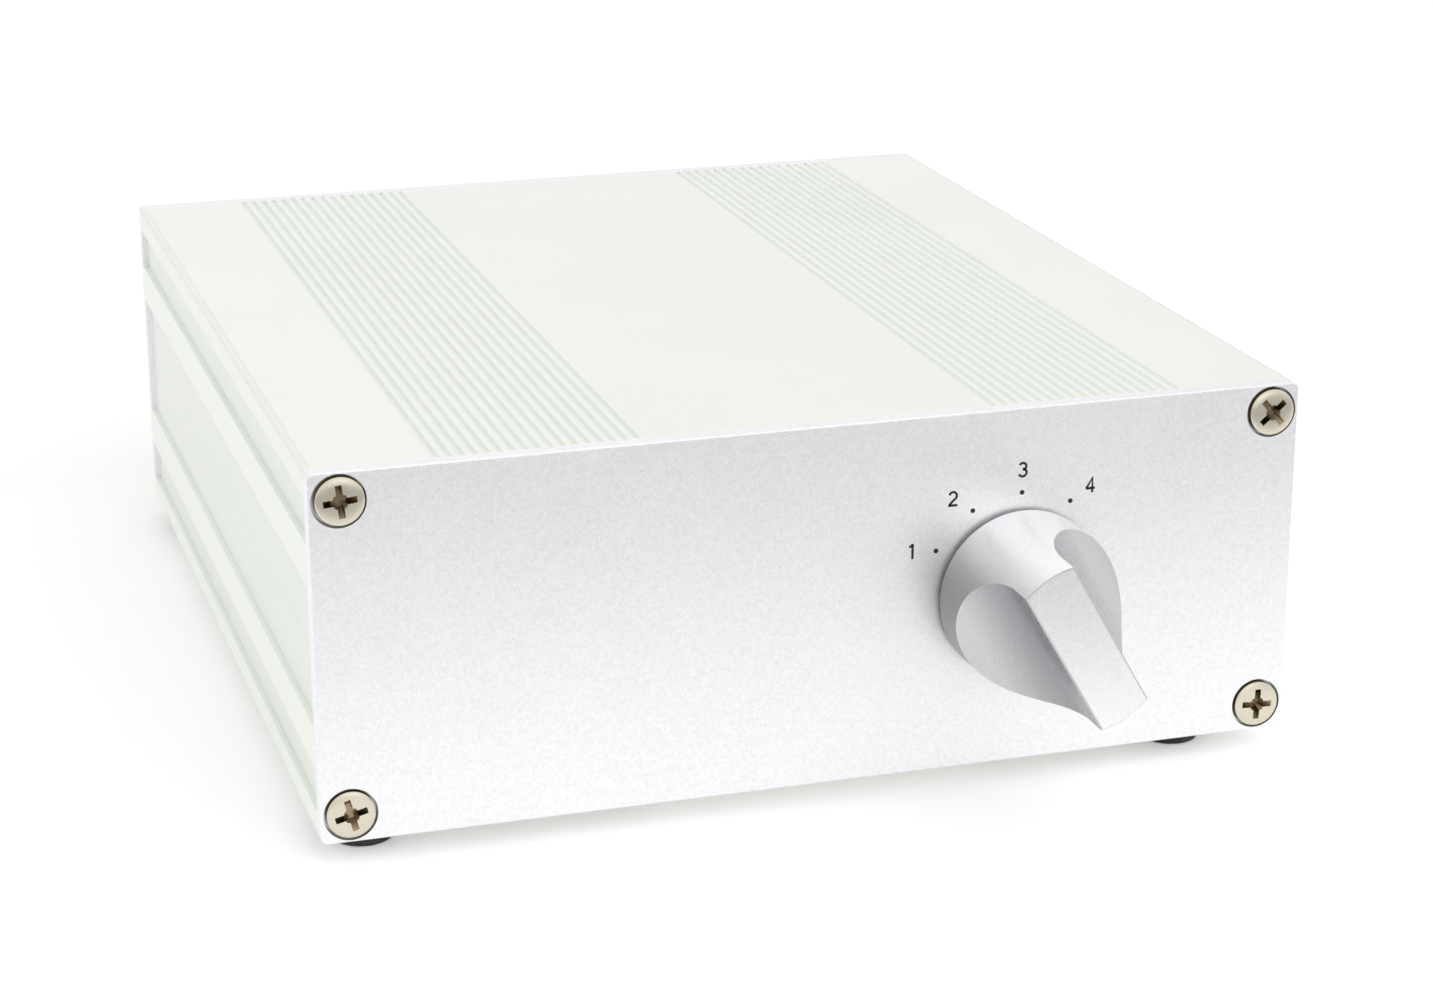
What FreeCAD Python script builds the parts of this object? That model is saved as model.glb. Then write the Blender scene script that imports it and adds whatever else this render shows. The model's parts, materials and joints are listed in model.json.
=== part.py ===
import FreeCAD, Part
import math
import os
import Sketcher
from FreeCAD import Placement, Rotation, Vector

# Four-way stereo source selector in a split aluminium case.
# Millimetres and degrees. +X is right, +Y is towards the sockets at the back and +Z is up.
# The origin is on the surface that the feet stand on, midway between the front of the knob
# and the tips of the sockets.

SIZES = {
    # Case: two equal extruded halves between two plates
    "case_width": 122.0,
    "case_height": 45.0,
    "case_length": 132.0,
    "panel_thickness": 2.0,
    "panel_bevel": 0.15,
    "corner_radius": 0.9,
    "top_wall": 2.2,
    "side_wall": 2.8,
    "side_recess_depth": 0.8,
    "edge_land": 3.3,
    "outer_recess": 5.5,
    "inner_land": 5.2,
    "rib_pitch": 1.48,
    "rib_band_start": 22.0,
    "rib_count": 17,
    "groove_width": 0.8,
    "groove_floor": 0.4,
    "groove_depth": 0.4,
    "tongue_width": 0.8,
    "tongue_height": 0.8,
    "tongue_play": 0.1,
    "screw_inset_side": 3.6,
    "screw_inset_edge": 3.45,
    "channel_wall": 1.5,
    "channel_slot": 1.0,
    "pilot_radius": 1.2,
    "rail_reach": 1.8,
    "rail_thickness": 1.0,
    "rail_play": 0.2,
    # Panel screws and feet
    "screw_head_radius": 2.9,
    "screw_head_height": 1.6,
    "screw_head_play": 0.3,
    "screw_head_proud": 0.3,
    "screw_hole_radius": 1.65,
    "screw_shank_length": 9.0,
    "screw_play": 0.05,
    "foot_height": 3.0,
    "foot_top_radius": 4.0,
    "foot_floor_radius": 3.7,
    "foot_inset_left": 6.4,
    "foot_inset_right": 11.5,
    "foot_inset_end": 8.3,
    # Knob
    "knob_right_of_centre": 25.0,
    "knob_below_centre": 0.6,
    "knob_radius": 10.5,
    "knob_length": 20.1,
    "knob_panel_gap": 0.7,
    "knob_bevel": 0.3,
    "bar_width": 6.6,
    "bar_wall_depth": 3.2,
    "scoop_radius": 14.0,
    "knob_recess_radius": 7.6,
    "knob_recess_depth": 3.9,
    "knob_bore_depth": 14.0,
    "grub_radius": 1.5,
    "grub_length": 5.5,
    "grub_height": 8.0,
    "flat_depth": 0.8,
    "flat_length": 12.0,
    # Rotary switch
    "rest_turn": -30.0,
    "first_turn": -60.0,
    "last_turn": 30.0,
    "step_turn": 30.0,
    "shaft_radius": 3.0,
    "shaft_play": 0.03,
    "bushing_radius": 4.5,
    "bushing_play": 0.1,
    "bushing_stand_out": 0.6,
    "nut_across_flats": 12.0,
    "nut_thickness": 2.0,
    "washer_radius": 6.6,
    "washer_thickness": 0.5,
    "ring_thickness": 0.6,
    "ring_groove_depth": 0.5,
    "ring_stand_out": 1.2,
    "ring_play": 0.05,
    "ring_opening": 4.0,
    "pin_radius": 1.0,
    "pin_length": 1.6,
    "pin_offset": 8.4,
    "switch_side": 20.0,
    "frame_thickness": 1.6,
    "strap_thickness": 0.8,
    "strap_width": 7.0,
    "tab_length": 1.6,
    "stop_thickness": 1.0,
    "stop_play": 3.0,
    "housing_depth": 7.6,
    "cavity_radius": 8.5,
    "cavity_play": 0.2,
    "wheel_radius": 7.0,
    "wheel_thickness": 3.6,
    "notch_depth": 0.8,
    "notch_count": 12,
    "stop_finger_width": 1.8,
    "stop_finger_inner": 5.2,
    "roller_radius": 1.2,
    "roller_play": 0.05,
    "leaf_thickness": 0.3,
    "leaf_length": 13.0,
    "leaf_width": 3.0,
    "rotor_length": 15.0,
    "rotor_width": 5.0,
    "rotor_thickness": 2.2,
    "tang_width": 4.0,
    "tang_thickness": 2.4,
    "wiper_width": 1.2,
    "wiper_length": 4.0,
    "wiper_thickness": 0.5,
    "wiper_play": 0.1,
    "contact_thickness": 0.3,
    "contact_radius": 6.4,
    "contact_length": 2.0,
    "contact_width": 1.6,
    "common_radius": 4.1,
    "common_width": 1.0,
    "common_reach": 75.0,
    "wafer_thickness": 1.6,
    "journal_radius": 1.15,
    "terminal_side": 0.8,
    "terminal_play": 0.1,
    "terminal_proud": 0.8,
    "switch_board_gap": 1.8,
    "switch_board_width": 26.0,
    "switch_board_margin": 6.0,
    "board_margin": 0.5,
    "board_thickness": 1.6,
    # Ribbon cable with its headers and plugs
    "header_length": 18.0,
    "header_width": 5.0,
    "header_height": 4.0,
    "plug_width": 6.0,
    "plug_height": 6.0,
    "ribbon_width": 12.7,
    "ribbon_thickness": 0.9,
    "ribbon_bend": 3.0,
    "ribbon_exit": 1.0,
    # Sockets on a board at the back
    "board_play": 0.3,
    "socket_board_depth": 34.0,
    "socket_pitch": 20.0,
    "socket_row_pitch": 17.0,
    "socket_radius": 4.15,
    "socket_wall": 0.65,
    "socket_stand_out": 9.0,
    "socket_hole_play": 0.1,
    "block_width": 11.0,
    "block_depth": 9.0,
    "block_wall": 2.0,
    "insert_recess": 0.7,
    "insert_play": 0.02,
    "socket_bore_radius": 1.65,
    "fork_thickness": 0.4,
    "fork_width": 2.6,
    "fork_play": 0.2,
    "tail_width": 1.0,
    "tail_gap": 1.0,
    "socket_columns": 5,
}

WAYS = 4
FULL_TURN = 360.0
NEAR = 0.001


class Size:
    """A number together with the spreadsheet formula that it follows."""

    def __init__(self, value, formula):
        self.value = float(value)
        self.formula = formula

    def _join(self, other, sign, value, swap=False):
        text = other.formula if isinstance(other, Size) else repr(other)
        pair = (text, self.formula) if swap else (self.formula, text)
        return Size(value, "({} {} {})".format(pair[0], sign, pair[1]))

    def __add__(self, other):
        return self._join(other, "+", self.value + number(other))

    def __radd__(self, other):
        return self._join(other, "+", number(other) + self.value, swap=True)

    def __sub__(self, other):
        return self._join(other, "-", self.value - number(other))

    def __rsub__(self, other):
        return self._join(other, "-", number(other) - self.value, swap=True)

    def __mul__(self, other):
        return self._join(other, "*", self.value * number(other))

    def __rmul__(self, other):
        return self._join(other, "*", number(other) * self.value, swap=True)

    def __truediv__(self, other):
        return self._join(other, "/", self.value / number(other))

    def __neg__(self):
        return Size(-self.value, "(-1 * {})".format(self.formula))


def number(size):
    """The plain number of a size."""
    return size.value if isinstance(size, Size) else float(size)


def text(size):
    """The formula of a size."""
    return size.formula if isinstance(size, Size) else repr(float(size))


def sine(angle):
    return Size(math.sin(math.radians(number(angle))), "sin({})".format(text(angle)))


def cosine(angle):
    return Size(math.cos(math.radians(number(angle))), "cos({})".format(text(angle)))


def root(size):
    return Size(math.sqrt(number(size)), "sqrt({})".format(text(size)))


def make_sheet(doc):
    """Write every driving dimension to its own named cell."""
    sheet = doc.addObject("Spreadsheet::Sheet", "Sizes")
    for row, (name, value) in enumerate(SIZES.items(), start=1):
        sheet.set("A{}".format(row), name)
        sheet.set("B{}".format(row), repr(value))
        sheet.setAlias("B{}".format(row), name)


DOC = FreeCAD.newDocument("source_selector")
make_sheet(DOC)
DOC.recompute()
S = {name: Size(value, "Sizes." + name) for name, value in SIZES.items()}
PIECES = []

FORWARD = Rotation(Vector(1, 0, 0), 90)
BACKWARD = Rotation(Vector(1, 0, 0), -90)
UPRIGHT = Rotation()

# Places that several pieces share
HALF_WIDTH = S["case_width"] / 2
HALF_HEIGHT = S["case_height"] / 2
MIDDLE_Z = S["foot_height"] + HALF_HEIGHT
CASE_DEPTH = S["case_length"] + 2 * S["panel_thickness"]
KNOB_REACH = S["knob_panel_gap"] + S["knob_length"]
FRONT_Y = (KNOB_REACH - CASE_DEPTH - S["socket_stand_out"]) / 2
FRONT_INSIDE_Y = FRONT_Y + S["panel_thickness"]
REAR_INSIDE_Y = FRONT_INSIDE_Y + S["case_length"]
REAR_Y = REAR_INSIDE_Y + S["panel_thickness"]
AXIS_X = S["knob_right_of_centre"]
AXIS_Z = MIDDLE_Z - S["knob_below_centre"]
SCREW_X = HALF_WIDTH - S["screw_inset_side"]
SCREW_Z = HALF_HEIGHT - S["screw_inset_edge"]
CHANNEL_RADIUS = S["pilot_radius"] + S["channel_wall"]

# Distances behind the inner face of the front panel, in the order of the switch's pieces
STOP_BACK = S["frame_thickness"] + S["stop_thickness"]
HOUSING_BACK = STOP_BACK + S["housing_depth"]
WHEEL_FRONT = STOP_BACK + S["cavity_play"]
WHEEL_BACK = WHEEL_FRONT + S["wheel_thickness"]
ROTOR_FRONT = WHEEL_BACK + S["cavity_play"]
ROTOR_BACK = ROTOR_FRONT + S["rotor_thickness"]
WIPER_BACK = ROTOR_BACK + S["wiper_thickness"]
WAFER_BACK = HOUSING_BACK + S["wafer_thickness"]
STRAP_BACK = WAFER_BACK + S["strap_thickness"]
SWITCH_BOARD_FRONT = WAFER_BACK + S["switch_board_gap"]
SWITCH_BOARD_BACK = SWITCH_BOARD_FRONT + S["board_thickness"]
NUT_FRONT = S["panel_thickness"] + S["washer_thickness"] + S["nut_thickness"]
BUSHING_FRONT = NUT_FRONT + S["bushing_stand_out"]

# Heights above the floor of the socket board and what stands on it
SOCKET_BOARD_Z = S["foot_height"] + S["screw_inset_edge"] + CHANNEL_RADIUS + S["rail_play"]
SOCKET_BOARD_TOP = SOCKET_BOARD_Z + S["board_thickness"]
HEADER_TOP = SOCKET_BOARD_TOP + S["header_height"]
CABLE_Z = HEADER_TOP + S["plug_height"] / 2
HEADER_Z = CABLE_Z - S["ribbon_bend"] - S["ribbon_exit"] - S["plug_width"] / 2
LOWER_ROW_Z = MIDDLE_Z - S["socket_row_pitch"] / 2
UPPER_ROW_Z = MIDDLE_Z + S["socket_row_pitch"] / 2
FORK_DEPTH = S["block_depth"] + S["fork_play"]
SOCKET_INSIDE = S["socket_radius"] - S["socket_wall"]


def bind(item, name, size):
    """Set one property of a document object and tie it to its formula."""
    if isinstance(size, Size):
        item.setExpression(name, size.formula)


def place(item, x, y, z, rotation=UPRIGHT):
    item.Placement = Placement(Vector(number(x), number(y), number(z)), rotation)
    for name, size in (("x", x), ("y", y), ("z", z)):
        bind(item, "Placement.Base." + name, size)


def keep(item, name):
    """Mark a document object as a finished sub-part with its own name."""
    item.Label = name
    PIECES.append(item)
    return item


def box(name, left, right, front, back, low, high):
    """An upright block between six planes."""
    item = DOC.addObject("Part::Box", name)
    sides = (("Length", right - left), ("Width", back - front), ("Height", high - low))
    for side, size in sides:
        setattr(item, side, number(size))
        bind(item, side, size)
    place(item, left, front, low)
    return item


def copies(name, master, places):
    """Several separate solids of one master, as one sub-part."""
    links = []
    for index, (x, y, z, rotation) in enumerate(places):
        link = DOC.addObject("App::Link", "{}_{}".format(name, index + 1))
        link.LinkedObject = master
        place(link, x, y, z, rotation)
        links.append(link)
    group = DOC.addObject("Part::Compound", name)
    group.Links = links
    return keep(group, name)


class Drawing:
    """A sketch on one origin plane of its body, with each point held by a formula."""

    def __init__(self, body, name, plane="XY_Plane", offset=None):
        self.sketch = body.newObject("Sketcher::SketchObject", name)
        origin_plane = [item for item in body.Origin.OriginFeatures if item.Role == plane][0]
        self.sketch.AttachmentSupport = [(origin_plane, "")]
        self.sketch.MapMode = "FlatFace"
        if offset is not None:
            self.sketch.AttachmentOffset = Placement(Vector(0, 0, number(offset)), Rotation())
            bind(self.sketch, "AttachmentOffset.Base.z", offset)

    def hold(self, kind, *what, size):
        index = self.sketch.addConstraint(Sketcher.Constraint(kind, *what, number(size)))
        if isinstance(size, Size):
            self.sketch.setExpression("Constraints[{}]".format(index), size.formula)

    def hold_point(self, geometry, end, x, y):
        self.hold("DistanceX", -1, 1, geometry, end, size=x)
        self.hold("DistanceY", -1, 1, geometry, end, size=y)

    def circle(self, x, y, radius):
        centre = Vector(number(x), number(y), 0)
        index = self.sketch.addGeometry(Part.Circle(centre, Vector(0, 0, 1), number(radius)))
        self.hold_point(index, 3, x, y)
        self.hold("Radius", index, size=radius)

    def outline(self, corners):
        """A closed outline of (x, y) or (x, y, radius) corners; a round corner is square on."""
        points = []
        for place_in_list, corner in enumerate(corners):
            if len(corner) == 2:
                points.append((corner[0], corner[1], None))
                continue
            before = corners[place_in_list - 1]
            after = corners[(place_in_list + 1) % len(corners)]
            points.append((*towards(corner, before), None))
            points.append((*towards(corner, after), corner[2]))
        self.path(points)

    def path(self, points):
        """A closed run of points; a radius on a point makes the stretch before it an arc."""
        first = None
        last = None
        for index, (x, y, radius) in enumerate(points):
            start_x, start_y, _ = points[index - 1]
            start = Vector(number(start_x), number(start_y), 0)
            finish = Vector(number(x), number(y), 0)
            if radius is None:
                edge = self.sketch.addGeometry(Part.LineSegment(start, finish))
                ends = (1, 2)
            else:
                edge, ends = self.arc(start, finish, radius)
            self.hold_point(edge, ends[1], x, y)
            if last is None:
                first = (edge, ends[0])
            else:
                self.sketch.addConstraint(Sketcher.Constraint("Coincident", *last, edge, ends[0]))
            last = (edge, ends[1])
        self.sketch.addConstraint(Sketcher.Constraint("Coincident", *last, *first))

    def arc(self, start, finish, radius):
        """An arc to the left of its chord for a positive radius, to the right for a negative."""
        size = abs(number(radius))
        chord = finish.sub(start)
        half = chord.Length / 2
        side = Vector(-chord.y, chord.x, 0).normalize()
        bulge = math.sqrt(max(size * size - half * half, 0.0))
        turn_left = number(radius) > 0
        centre = start.add(chord.multiply(0.5)).add(side.multiply(bulge if turn_left else -bulge))
        angles = [math.atan2(point.y - centre.y, point.x - centre.x) for point in (start, finish)]
        if not turn_left:
            angles.reverse()
        circle = Part.Circle(centre, Vector(0, 0, 1), size)
        edge = self.sketch.addGeometry(Part.ArcOfCircle(circle, angles[0], angles[1]))
        self.hold("Radius", edge, size=radius if turn_left else -radius)
        return edge, (1, 2) if turn_left else (2, 1)

    def rectangle(self, left, bottom, right, top):
        self.outline([(left, bottom), (right, bottom), (right, top), (left, top)])


def towards(corner, neighbour):
    """The point of a square round corner where its arc meets the side to a neighbour."""
    x, y, radius = corner
    run_x = number(neighbour[0]) - number(x)
    run_y = number(neighbour[1]) - number(y)
    if abs(run_x) > abs(run_y):
        return (x + radius if run_x > 0 else x - radius, y)
    return (x, y + radius if run_y > 0 else y - radius)


def new_body(name, x=0.0, y=0.0, z=0.0, rotation=UPRIGHT):
    body = DOC.addObject("PartDesign::Body", name)
    place(body, x, y, z, rotation)
    return body


def pad(body, drawing, length, both_ways=False, down=False):
    """Extrude a drawing up its plane's normal, down it, or half each way."""
    feature = body.newObject("PartDesign::Pad", drawing.sketch.Name + "_pad")
    feature.Profile = drawing.sketch
    feature.Length = number(length)
    bind(feature, "Length", length)
    feature.Reversed = down
    if both_ways:
        feature.SideType = "Symmetric"
    finish_feature(body, feature)
    return feature


def cut(body, drawing, length, both_ways=False, up=False):
    """Cut a drawing down its plane's normal, up it, or half each way."""
    before = body.Shape.Volume
    feature = body.newObject("PartDesign::Pocket", drawing.sketch.Name + "_cut")
    feature.Profile = drawing.sketch
    feature.Length = number(length)
    bind(feature, "Length", length)
    feature.Reversed = up
    if both_ways:
        feature.SideType = "Symmetric"
    finish_feature(body, feature)
    if body.Shape.Volume >= before:
        raise RuntimeError(feature.Name + " removes nothing")
    return feature


def finish_feature(body, feature):
    drawing = feature.Profile[0] if hasattr(feature, "Profile") else None
    if drawing is not None:
        drawing.Visibility = False
    body.Tip = feature
    DOC.recompute()
    if "Invalid" in feature.State or "Error" in feature.State:
        raise RuntimeError(feature.Name + " failed: " + feature.getStatusString())


def spin(body, drawing):
    """Turn a drawing about its vertical axis."""
    feature = body.newObject("PartDesign::Revolution", drawing.sketch.Name + "_spin")
    feature.Profile = drawing.sketch
    feature.ReferenceAxis = (drawing.sketch, ["V_Axis"])
    feature.Angle = FULL_TURN
    finish_feature(body, feature)
    return feature


def mirror(body, feature, plane):
    """Repeat a feature on the other side of one of the body's planes."""
    copy = body.newObject("PartDesign::Mirrored", feature.Name + "_mirror")
    copy.Originals = [feature]
    copy.MirrorPlane = ([item for item in body.Origin.OriginFeatures if item.Role == plane][0], [""])
    finish_feature(body, copy)
    return copy


def repeat_around(body, feature, count):
    """Repeat a feature evenly about the body's Z axis."""
    copy = body.newObject("PartDesign::PolarPattern", feature.Name + "_ring")
    copy.Originals = [feature]
    copy.Axis = ([item for item in body.Origin.OriginFeatures if item.Role == "Z_Axis"][0], [""])
    copy.Angle = FULL_TURN
    copy.Occurrences = int(number(count))
    bind(copy, "Occurrences", count)
    finish_feature(body, copy)
    return copy


def repeat_along(body, feature, axis, pitch, count):
    """Repeat a feature at an even pitch along one of the body's axes."""
    copy = body.newObject("PartDesign::LinearPattern", feature.Name + "_row")
    copy.Originals = [feature]
    copy.Direction = ([item for item in body.Origin.OriginFeatures if item.Role == axis][0], [""])
    length = pitch * (count - 1)
    copy.Length = number(length)
    bind(copy, "Length", length)
    copy.Occurrences = int(number(count))
    bind(copy, "Occurrences", count)
    finish_feature(body, copy)
    return copy


def bevel_face(body, name, size, height):
    """Chamfer every edge of the flat faces at one height."""
    base = body.Tip
    edges = []
    for index, edge in enumerate(base.Shape.Edges, start=1):
        bounds = edge.BoundBox
        if bounds.ZMin > number(height) - NEAR and bounds.ZMax < number(height) + NEAR:
            edges.append("Edge{}".format(index))
    feature = body.newObject("PartDesign::Chamfer", name)
    feature.Base = (base, edges)
    feature.Size = number(size)
    bind(feature, "Size", size)
    finish_feature(body, feature)
    return feature


def ring_sector(drawing, inner, outer, first, last):
    """A piece of a ring between two radii and two angles, measured from the X axis."""
    corners = [
        (inner * cosine(first), inner * sine(first), None),
        (outer * cosine(first), outer * sine(first), None),
        (outer * cosine(last), outer * sine(last), outer),
        (inner * cosine(last), inner * sine(last), None),
    ]
    corners[0] = (corners[0][0], corners[0][1], -inner)
    drawing.path(corners)


def side_profile():
    """Right-hand corners of a case half, up from the seam: lands stand proud of recesses."""
    sunk = HALF_WIDTH - S["side_recess_depth"]
    land_top = HALF_HEIGHT - S["edge_land"]
    recess_low = land_top - S["outer_recess"]
    inner_low = recess_low - S["inner_land"]
    return [
        (sunk, inner_low),
        (HALF_WIDTH, inner_low),
        (HALF_WIDTH, recess_low),
        (sunk, recess_low),
        (sunk, land_top),
        (HALF_WIDTH, land_top),
        (HALF_WIDTH, HALF_HEIGHT, S["corner_radius"]),
    ]


def flipped(corners):
    """The same corners on the left, in the order that carries the outline on."""
    return [(-corner[0], *corner[1:]) for corner in reversed(corners)]


def case_half(name, rotation):
    """One extruded half: walls, side lands, grooved top, screw channels and board rails.

    The seam has a tongue on the right and a groove on the left, so two equal halves close
    on each other when one is turned over.
    """
    body = new_body(name, 0.0, REAR_INSIDE_Y, MIDDLE_Z, rotation)
    inside = HALF_WIDTH - S["side_wall"]
    sunk = HALF_WIDTH - S["side_recess_depth"]
    roof = HALF_HEIGHT - S["top_wall"]
    seam_x = (inside + sunk) / 2
    half_tongue = S["tongue_width"] / 2
    half_groove = half_tongue + S["tongue_play"]
    groove_top = S["tongue_height"] + S["tongue_play"]
    zero = 0 * HALF_WIDTH
    walls = Drawing(body, name + "_walls")
    walls.outline(
        [
            (inside, zero),
            (seam_x - half_tongue, zero),
            (seam_x - half_tongue, -S["tongue_height"]),
            (seam_x + half_tongue, -S["tongue_height"]),
            (seam_x + half_tongue, zero),
            (sunk, zero),
        ]
        + side_profile()
        + flipped(side_profile())
        + [
            (-sunk, zero),
            (-seam_x - half_groove, zero),
            (-seam_x - half_groove, groove_top),
            (-seam_x + half_groove, groove_top),
            (-seam_x + half_groove, zero),
            (-inside, zero),
            (-inside, roof),
            (inside, roof),
        ]
    )
    pad(body, walls, S["case_length"])

    channels = Drawing(body, name + "_channels")
    for side in (-1, 1):
        channels.circle(side * SCREW_X, SCREW_Z, CHANNEL_RADIUS)
    pad(body, channels, S["case_length"])

    rail_y = HALF_HEIGHT - (SOCKET_BOARD_TOP - S["foot_height"]) - S["rail_play"]
    rails = Drawing(body, name + "_rails")
    for side in (-1, 1):
        wall = side * (inside + S["side_wall"] / 4)
        tip = side * (inside - S["rail_reach"])
        left, right = (wall, tip) if side < 0 else (tip, wall)
        rails.rectangle(left, rail_y - S["rail_thickness"], right, rail_y)
    pad(body, rails, S["case_length"])

    pilots = Drawing(body, name + "_pilots")
    for side in (-1, 1):
        pilots.circle(side * SCREW_X, SCREW_Z, S["pilot_radius"])
    cut(body, pilots, S["case_length"], up=True)

    slots = Drawing(body, name + "_slots")
    half_slot = S["channel_slot"] / 2
    for side in (-1, 1):
        near = side * SCREW_X
        far = side * (SCREW_X - CHANNEL_RADIUS)
        left, right = (near, far) if side < 0 else (far, near)
        slots.rectangle(left, SCREW_Z - half_slot, right, SCREW_Z + half_slot)
    cut(body, slots, S["case_length"], up=True)

    grooves = Drawing(body, name + "_grooves")
    band = S["rib_pitch"] * (S["rib_count"] - 1)
    half_top = S["groove_width"] / 2
    half_floor = S["groove_floor"] / 2
    for middle in (S["rib_band_start"], -S["rib_band_start"] - band):
        grooves.outline(
            [
                (middle - half_floor, HALF_HEIGHT - S["groove_depth"]),
                (middle + half_floor, HALF_HEIGHT - S["groove_depth"]),
                (middle + half_top, HALF_HEIGHT),
                (middle - half_top, HALF_HEIGHT),
            ]
        )
    first = cut(body, grooves, S["case_length"], up=True)
    repeat_along(body, first, "X_Axis", S["rib_pitch"], S["rib_count"])
    return keep(body, name)


def panel(name, y):
    """An end plate with a counterbored screw hole near each corner, front face outwards."""
    rotation = FORWARD if name == "front_panel" else BACKWARD
    body = new_body(name, 0.0, y, MIDDLE_Z, rotation)
    plate = Drawing(body, name + "_plate")
    corner = S["corner_radius"]
    plate.outline(
        [
            (-HALF_WIDTH, -HALF_HEIGHT, corner),
            (HALF_WIDTH, -HALF_HEIGHT, corner),
            (HALF_WIDTH, HALF_HEIGHT, corner),
            (-HALF_WIDTH, HALF_HEIGHT, corner),
        ]
    )
    pad(body, plate, S["panel_thickness"])
    bevel_face(body, name + "_bevel", S["panel_bevel"], S["panel_thickness"])
    holes = Drawing(body, name + "_screw_holes")
    seats = Drawing(body, name + "_screw_seats", offset=S["panel_thickness"])
    for across in (-1, 1):
        for up in (-1, 1):
            holes.circle(across * SCREW_X, up * SCREW_Z, S["screw_hole_radius"])
            seat_radius = S["screw_head_radius"] + S["screw_head_play"]
            seats.circle(across * SCREW_X, up * SCREW_Z, seat_radius)
    cut(body, holes, S["panel_thickness"], up=True)
    cut(body, seats, S["screw_head_height"] - S["screw_head_proud"])
    return body


def front_panel():
    body = panel("front_panel", FRONT_INSIDE_Y)
    holes = Drawing(body, "front_panel_switch_holes")
    axis_y = AXIS_Z - MIDDLE_Z
    holes.circle(AXIS_X, axis_y, S["bushing_radius"] + S["bushing_play"])
    holes.circle(AXIS_X, axis_y - S["pin_offset"], S["pin_radius"] + S["bushing_play"])
    cut(body, holes, S["panel_thickness"], up=True)
    return keep(body, "front_panel")


def socket_columns():
    """Places of the socket columns across the back, from left to right."""
    count = int(SIZES["socket_columns"])
    return [(column - (count - 1) / 2) * S["socket_pitch"] for column in range(count)]


def rear_panel():
    body = panel("rear_panel", REAR_INSIDE_Y)
    holes = Drawing(body, "rear_panel_socket_holes")
    for column in socket_columns():
        for side in (-1, 1):
            height = side * S["socket_row_pitch"] / 2
            holes.circle(column, height, SOCKET_INSIDE + S["socket_hole_play"])
    cut(body, holes, S["panel_thickness"], up=True)
    return keep(body, "rear_panel")


def panel_screw():
    """A cheese-head screw, its head's underside on the local XY plane."""
    body = new_body("panel_screw_master")
    profile = Drawing(body, "panel_screw_profile", plane="XZ_Plane")
    zero = 0 * S["pilot_radius"]
    shank = S["pilot_radius"] - S["screw_play"]
    profile.outline(
        [
            (zero, -S["screw_shank_length"]),
            (shank, -S["screw_shank_length"]),
            (shank, zero),
            (S["screw_head_radius"], zero),
            (S["screw_head_radius"], S["screw_head_height"]),
            (zero, S["screw_head_height"]),
        ]
    )
    spin(body, profile)
    return body


def panel_screws():
    master = panel_screw()
    seat_depth = S["screw_head_height"] - S["screw_head_proud"]
    corners = [(across, up) for across in (-1, 1) for up in (-1, 1)]
    rows = (
        ("front_panel_screws", FRONT_Y + seat_depth, FORWARD),
        ("rear_panel_screws", REAR_Y - seat_depth, BACKWARD),
    )
    for name, y, rotation in rows:
        copies(
            name,
            master,
            [(across * SCREW_X, y, MIDDLE_Z + up * SCREW_Z, rotation) for across, up in corners],
        )


def rubber_feet():
    """Four tapered stick-on feet; the two on the left stand nearer to their side."""
    master = DOC.addObject("Part::Cone", "foot_master")
    sizes = (("Radius1", "foot_floor_radius"), ("Radius2", "foot_top_radius"), ("Height", "foot_height"))
    for side, name in sizes:
        setattr(master, side, number(S[name]))
        bind(master, side, S[name])
    left = -HALF_WIDTH + S["foot_inset_left"]
    right = HALF_WIDTH - S["foot_inset_right"]
    front = FRONT_Y + S["foot_inset_end"]
    back = REAR_Y - S["foot_inset_end"]
    zero = 0 * S["foot_height"]
    copies("rubber_feet", master, [(x, y, zero, UPRIGHT) for x in (left, right) for y in (front, back)])


def knob_rotation():
    """The knob's bar points at the channel that is chosen at rest."""
    return Rotation(Vector(0, 1, 0), SIZES["rest_turn"]).multiply(FORWARD)


def knob():
    """A round knob with a hollow scooped out on each side of a straight grip bar.

    Local Z points at the user and local Y along the bar. Each scoop is a straight wall beside
    the bar that runs out into a hollow round of the scoop radius, and stops above a round skirt.
    """
    body = new_body("knob", AXIS_X, FRONT_Y - S["knob_panel_gap"], AXIS_Z, knob_rotation())
    zero = 0 * S["knob_radius"]
    blank = Drawing(body, "knob_blank")
    blank.circle(zero, zero, S["knob_radius"])
    pad(body, blank, S["knob_length"])
    bevel_face(body, "knob_front_bevel", S["knob_bevel"], S["knob_length"])

    half_bar = S["bar_width"] / 2
    wall_end = S["knob_length"] - S["bar_wall_depth"]
    outside = S["knob_radius"] + S["knob_bevel"]
    overhang = S["knob_length"] + S["knob_bevel"]
    reach = half_bar + S["scoop_radius"] - outside
    drop = root(S["scoop_radius"] * S["scoop_radius"] - reach * reach)
    scoop = Drawing(body, "knob_scoop", plane="XZ_Plane")
    scoop.path(
        [
            (half_bar, overhang, None),
            (half_bar, wall_end, None),
            (outside, wall_end - drop, S["scoop_radius"]),
            (outside, overhang, None),
        ]
    )
    hollow = cut(body, scoop, 3 * S["knob_radius"], both_ways=True)
    mirror(body, hollow, "YZ_Plane")

    recess = Drawing(body, "knob_recess")
    recess.circle(zero, zero, S["knob_recess_radius"])
    cut(body, recess, S["knob_recess_depth"], up=True)
    bore = Drawing(body, "knob_bore")
    bore.circle(zero, zero, S["shaft_radius"] + S["shaft_play"])
    cut(body, bore, S["knob_bore_depth"], up=True)
    grub_hole = Drawing(body, "knob_grub_hole", plane="XZ_Plane")
    grub_hole.circle(zero, S["grub_height"], S["grub_radius"])
    cut(body, grub_hole, S["knob_radius"] + S["knob_bevel"], up=True)
    return keep(body, "knob")


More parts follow.
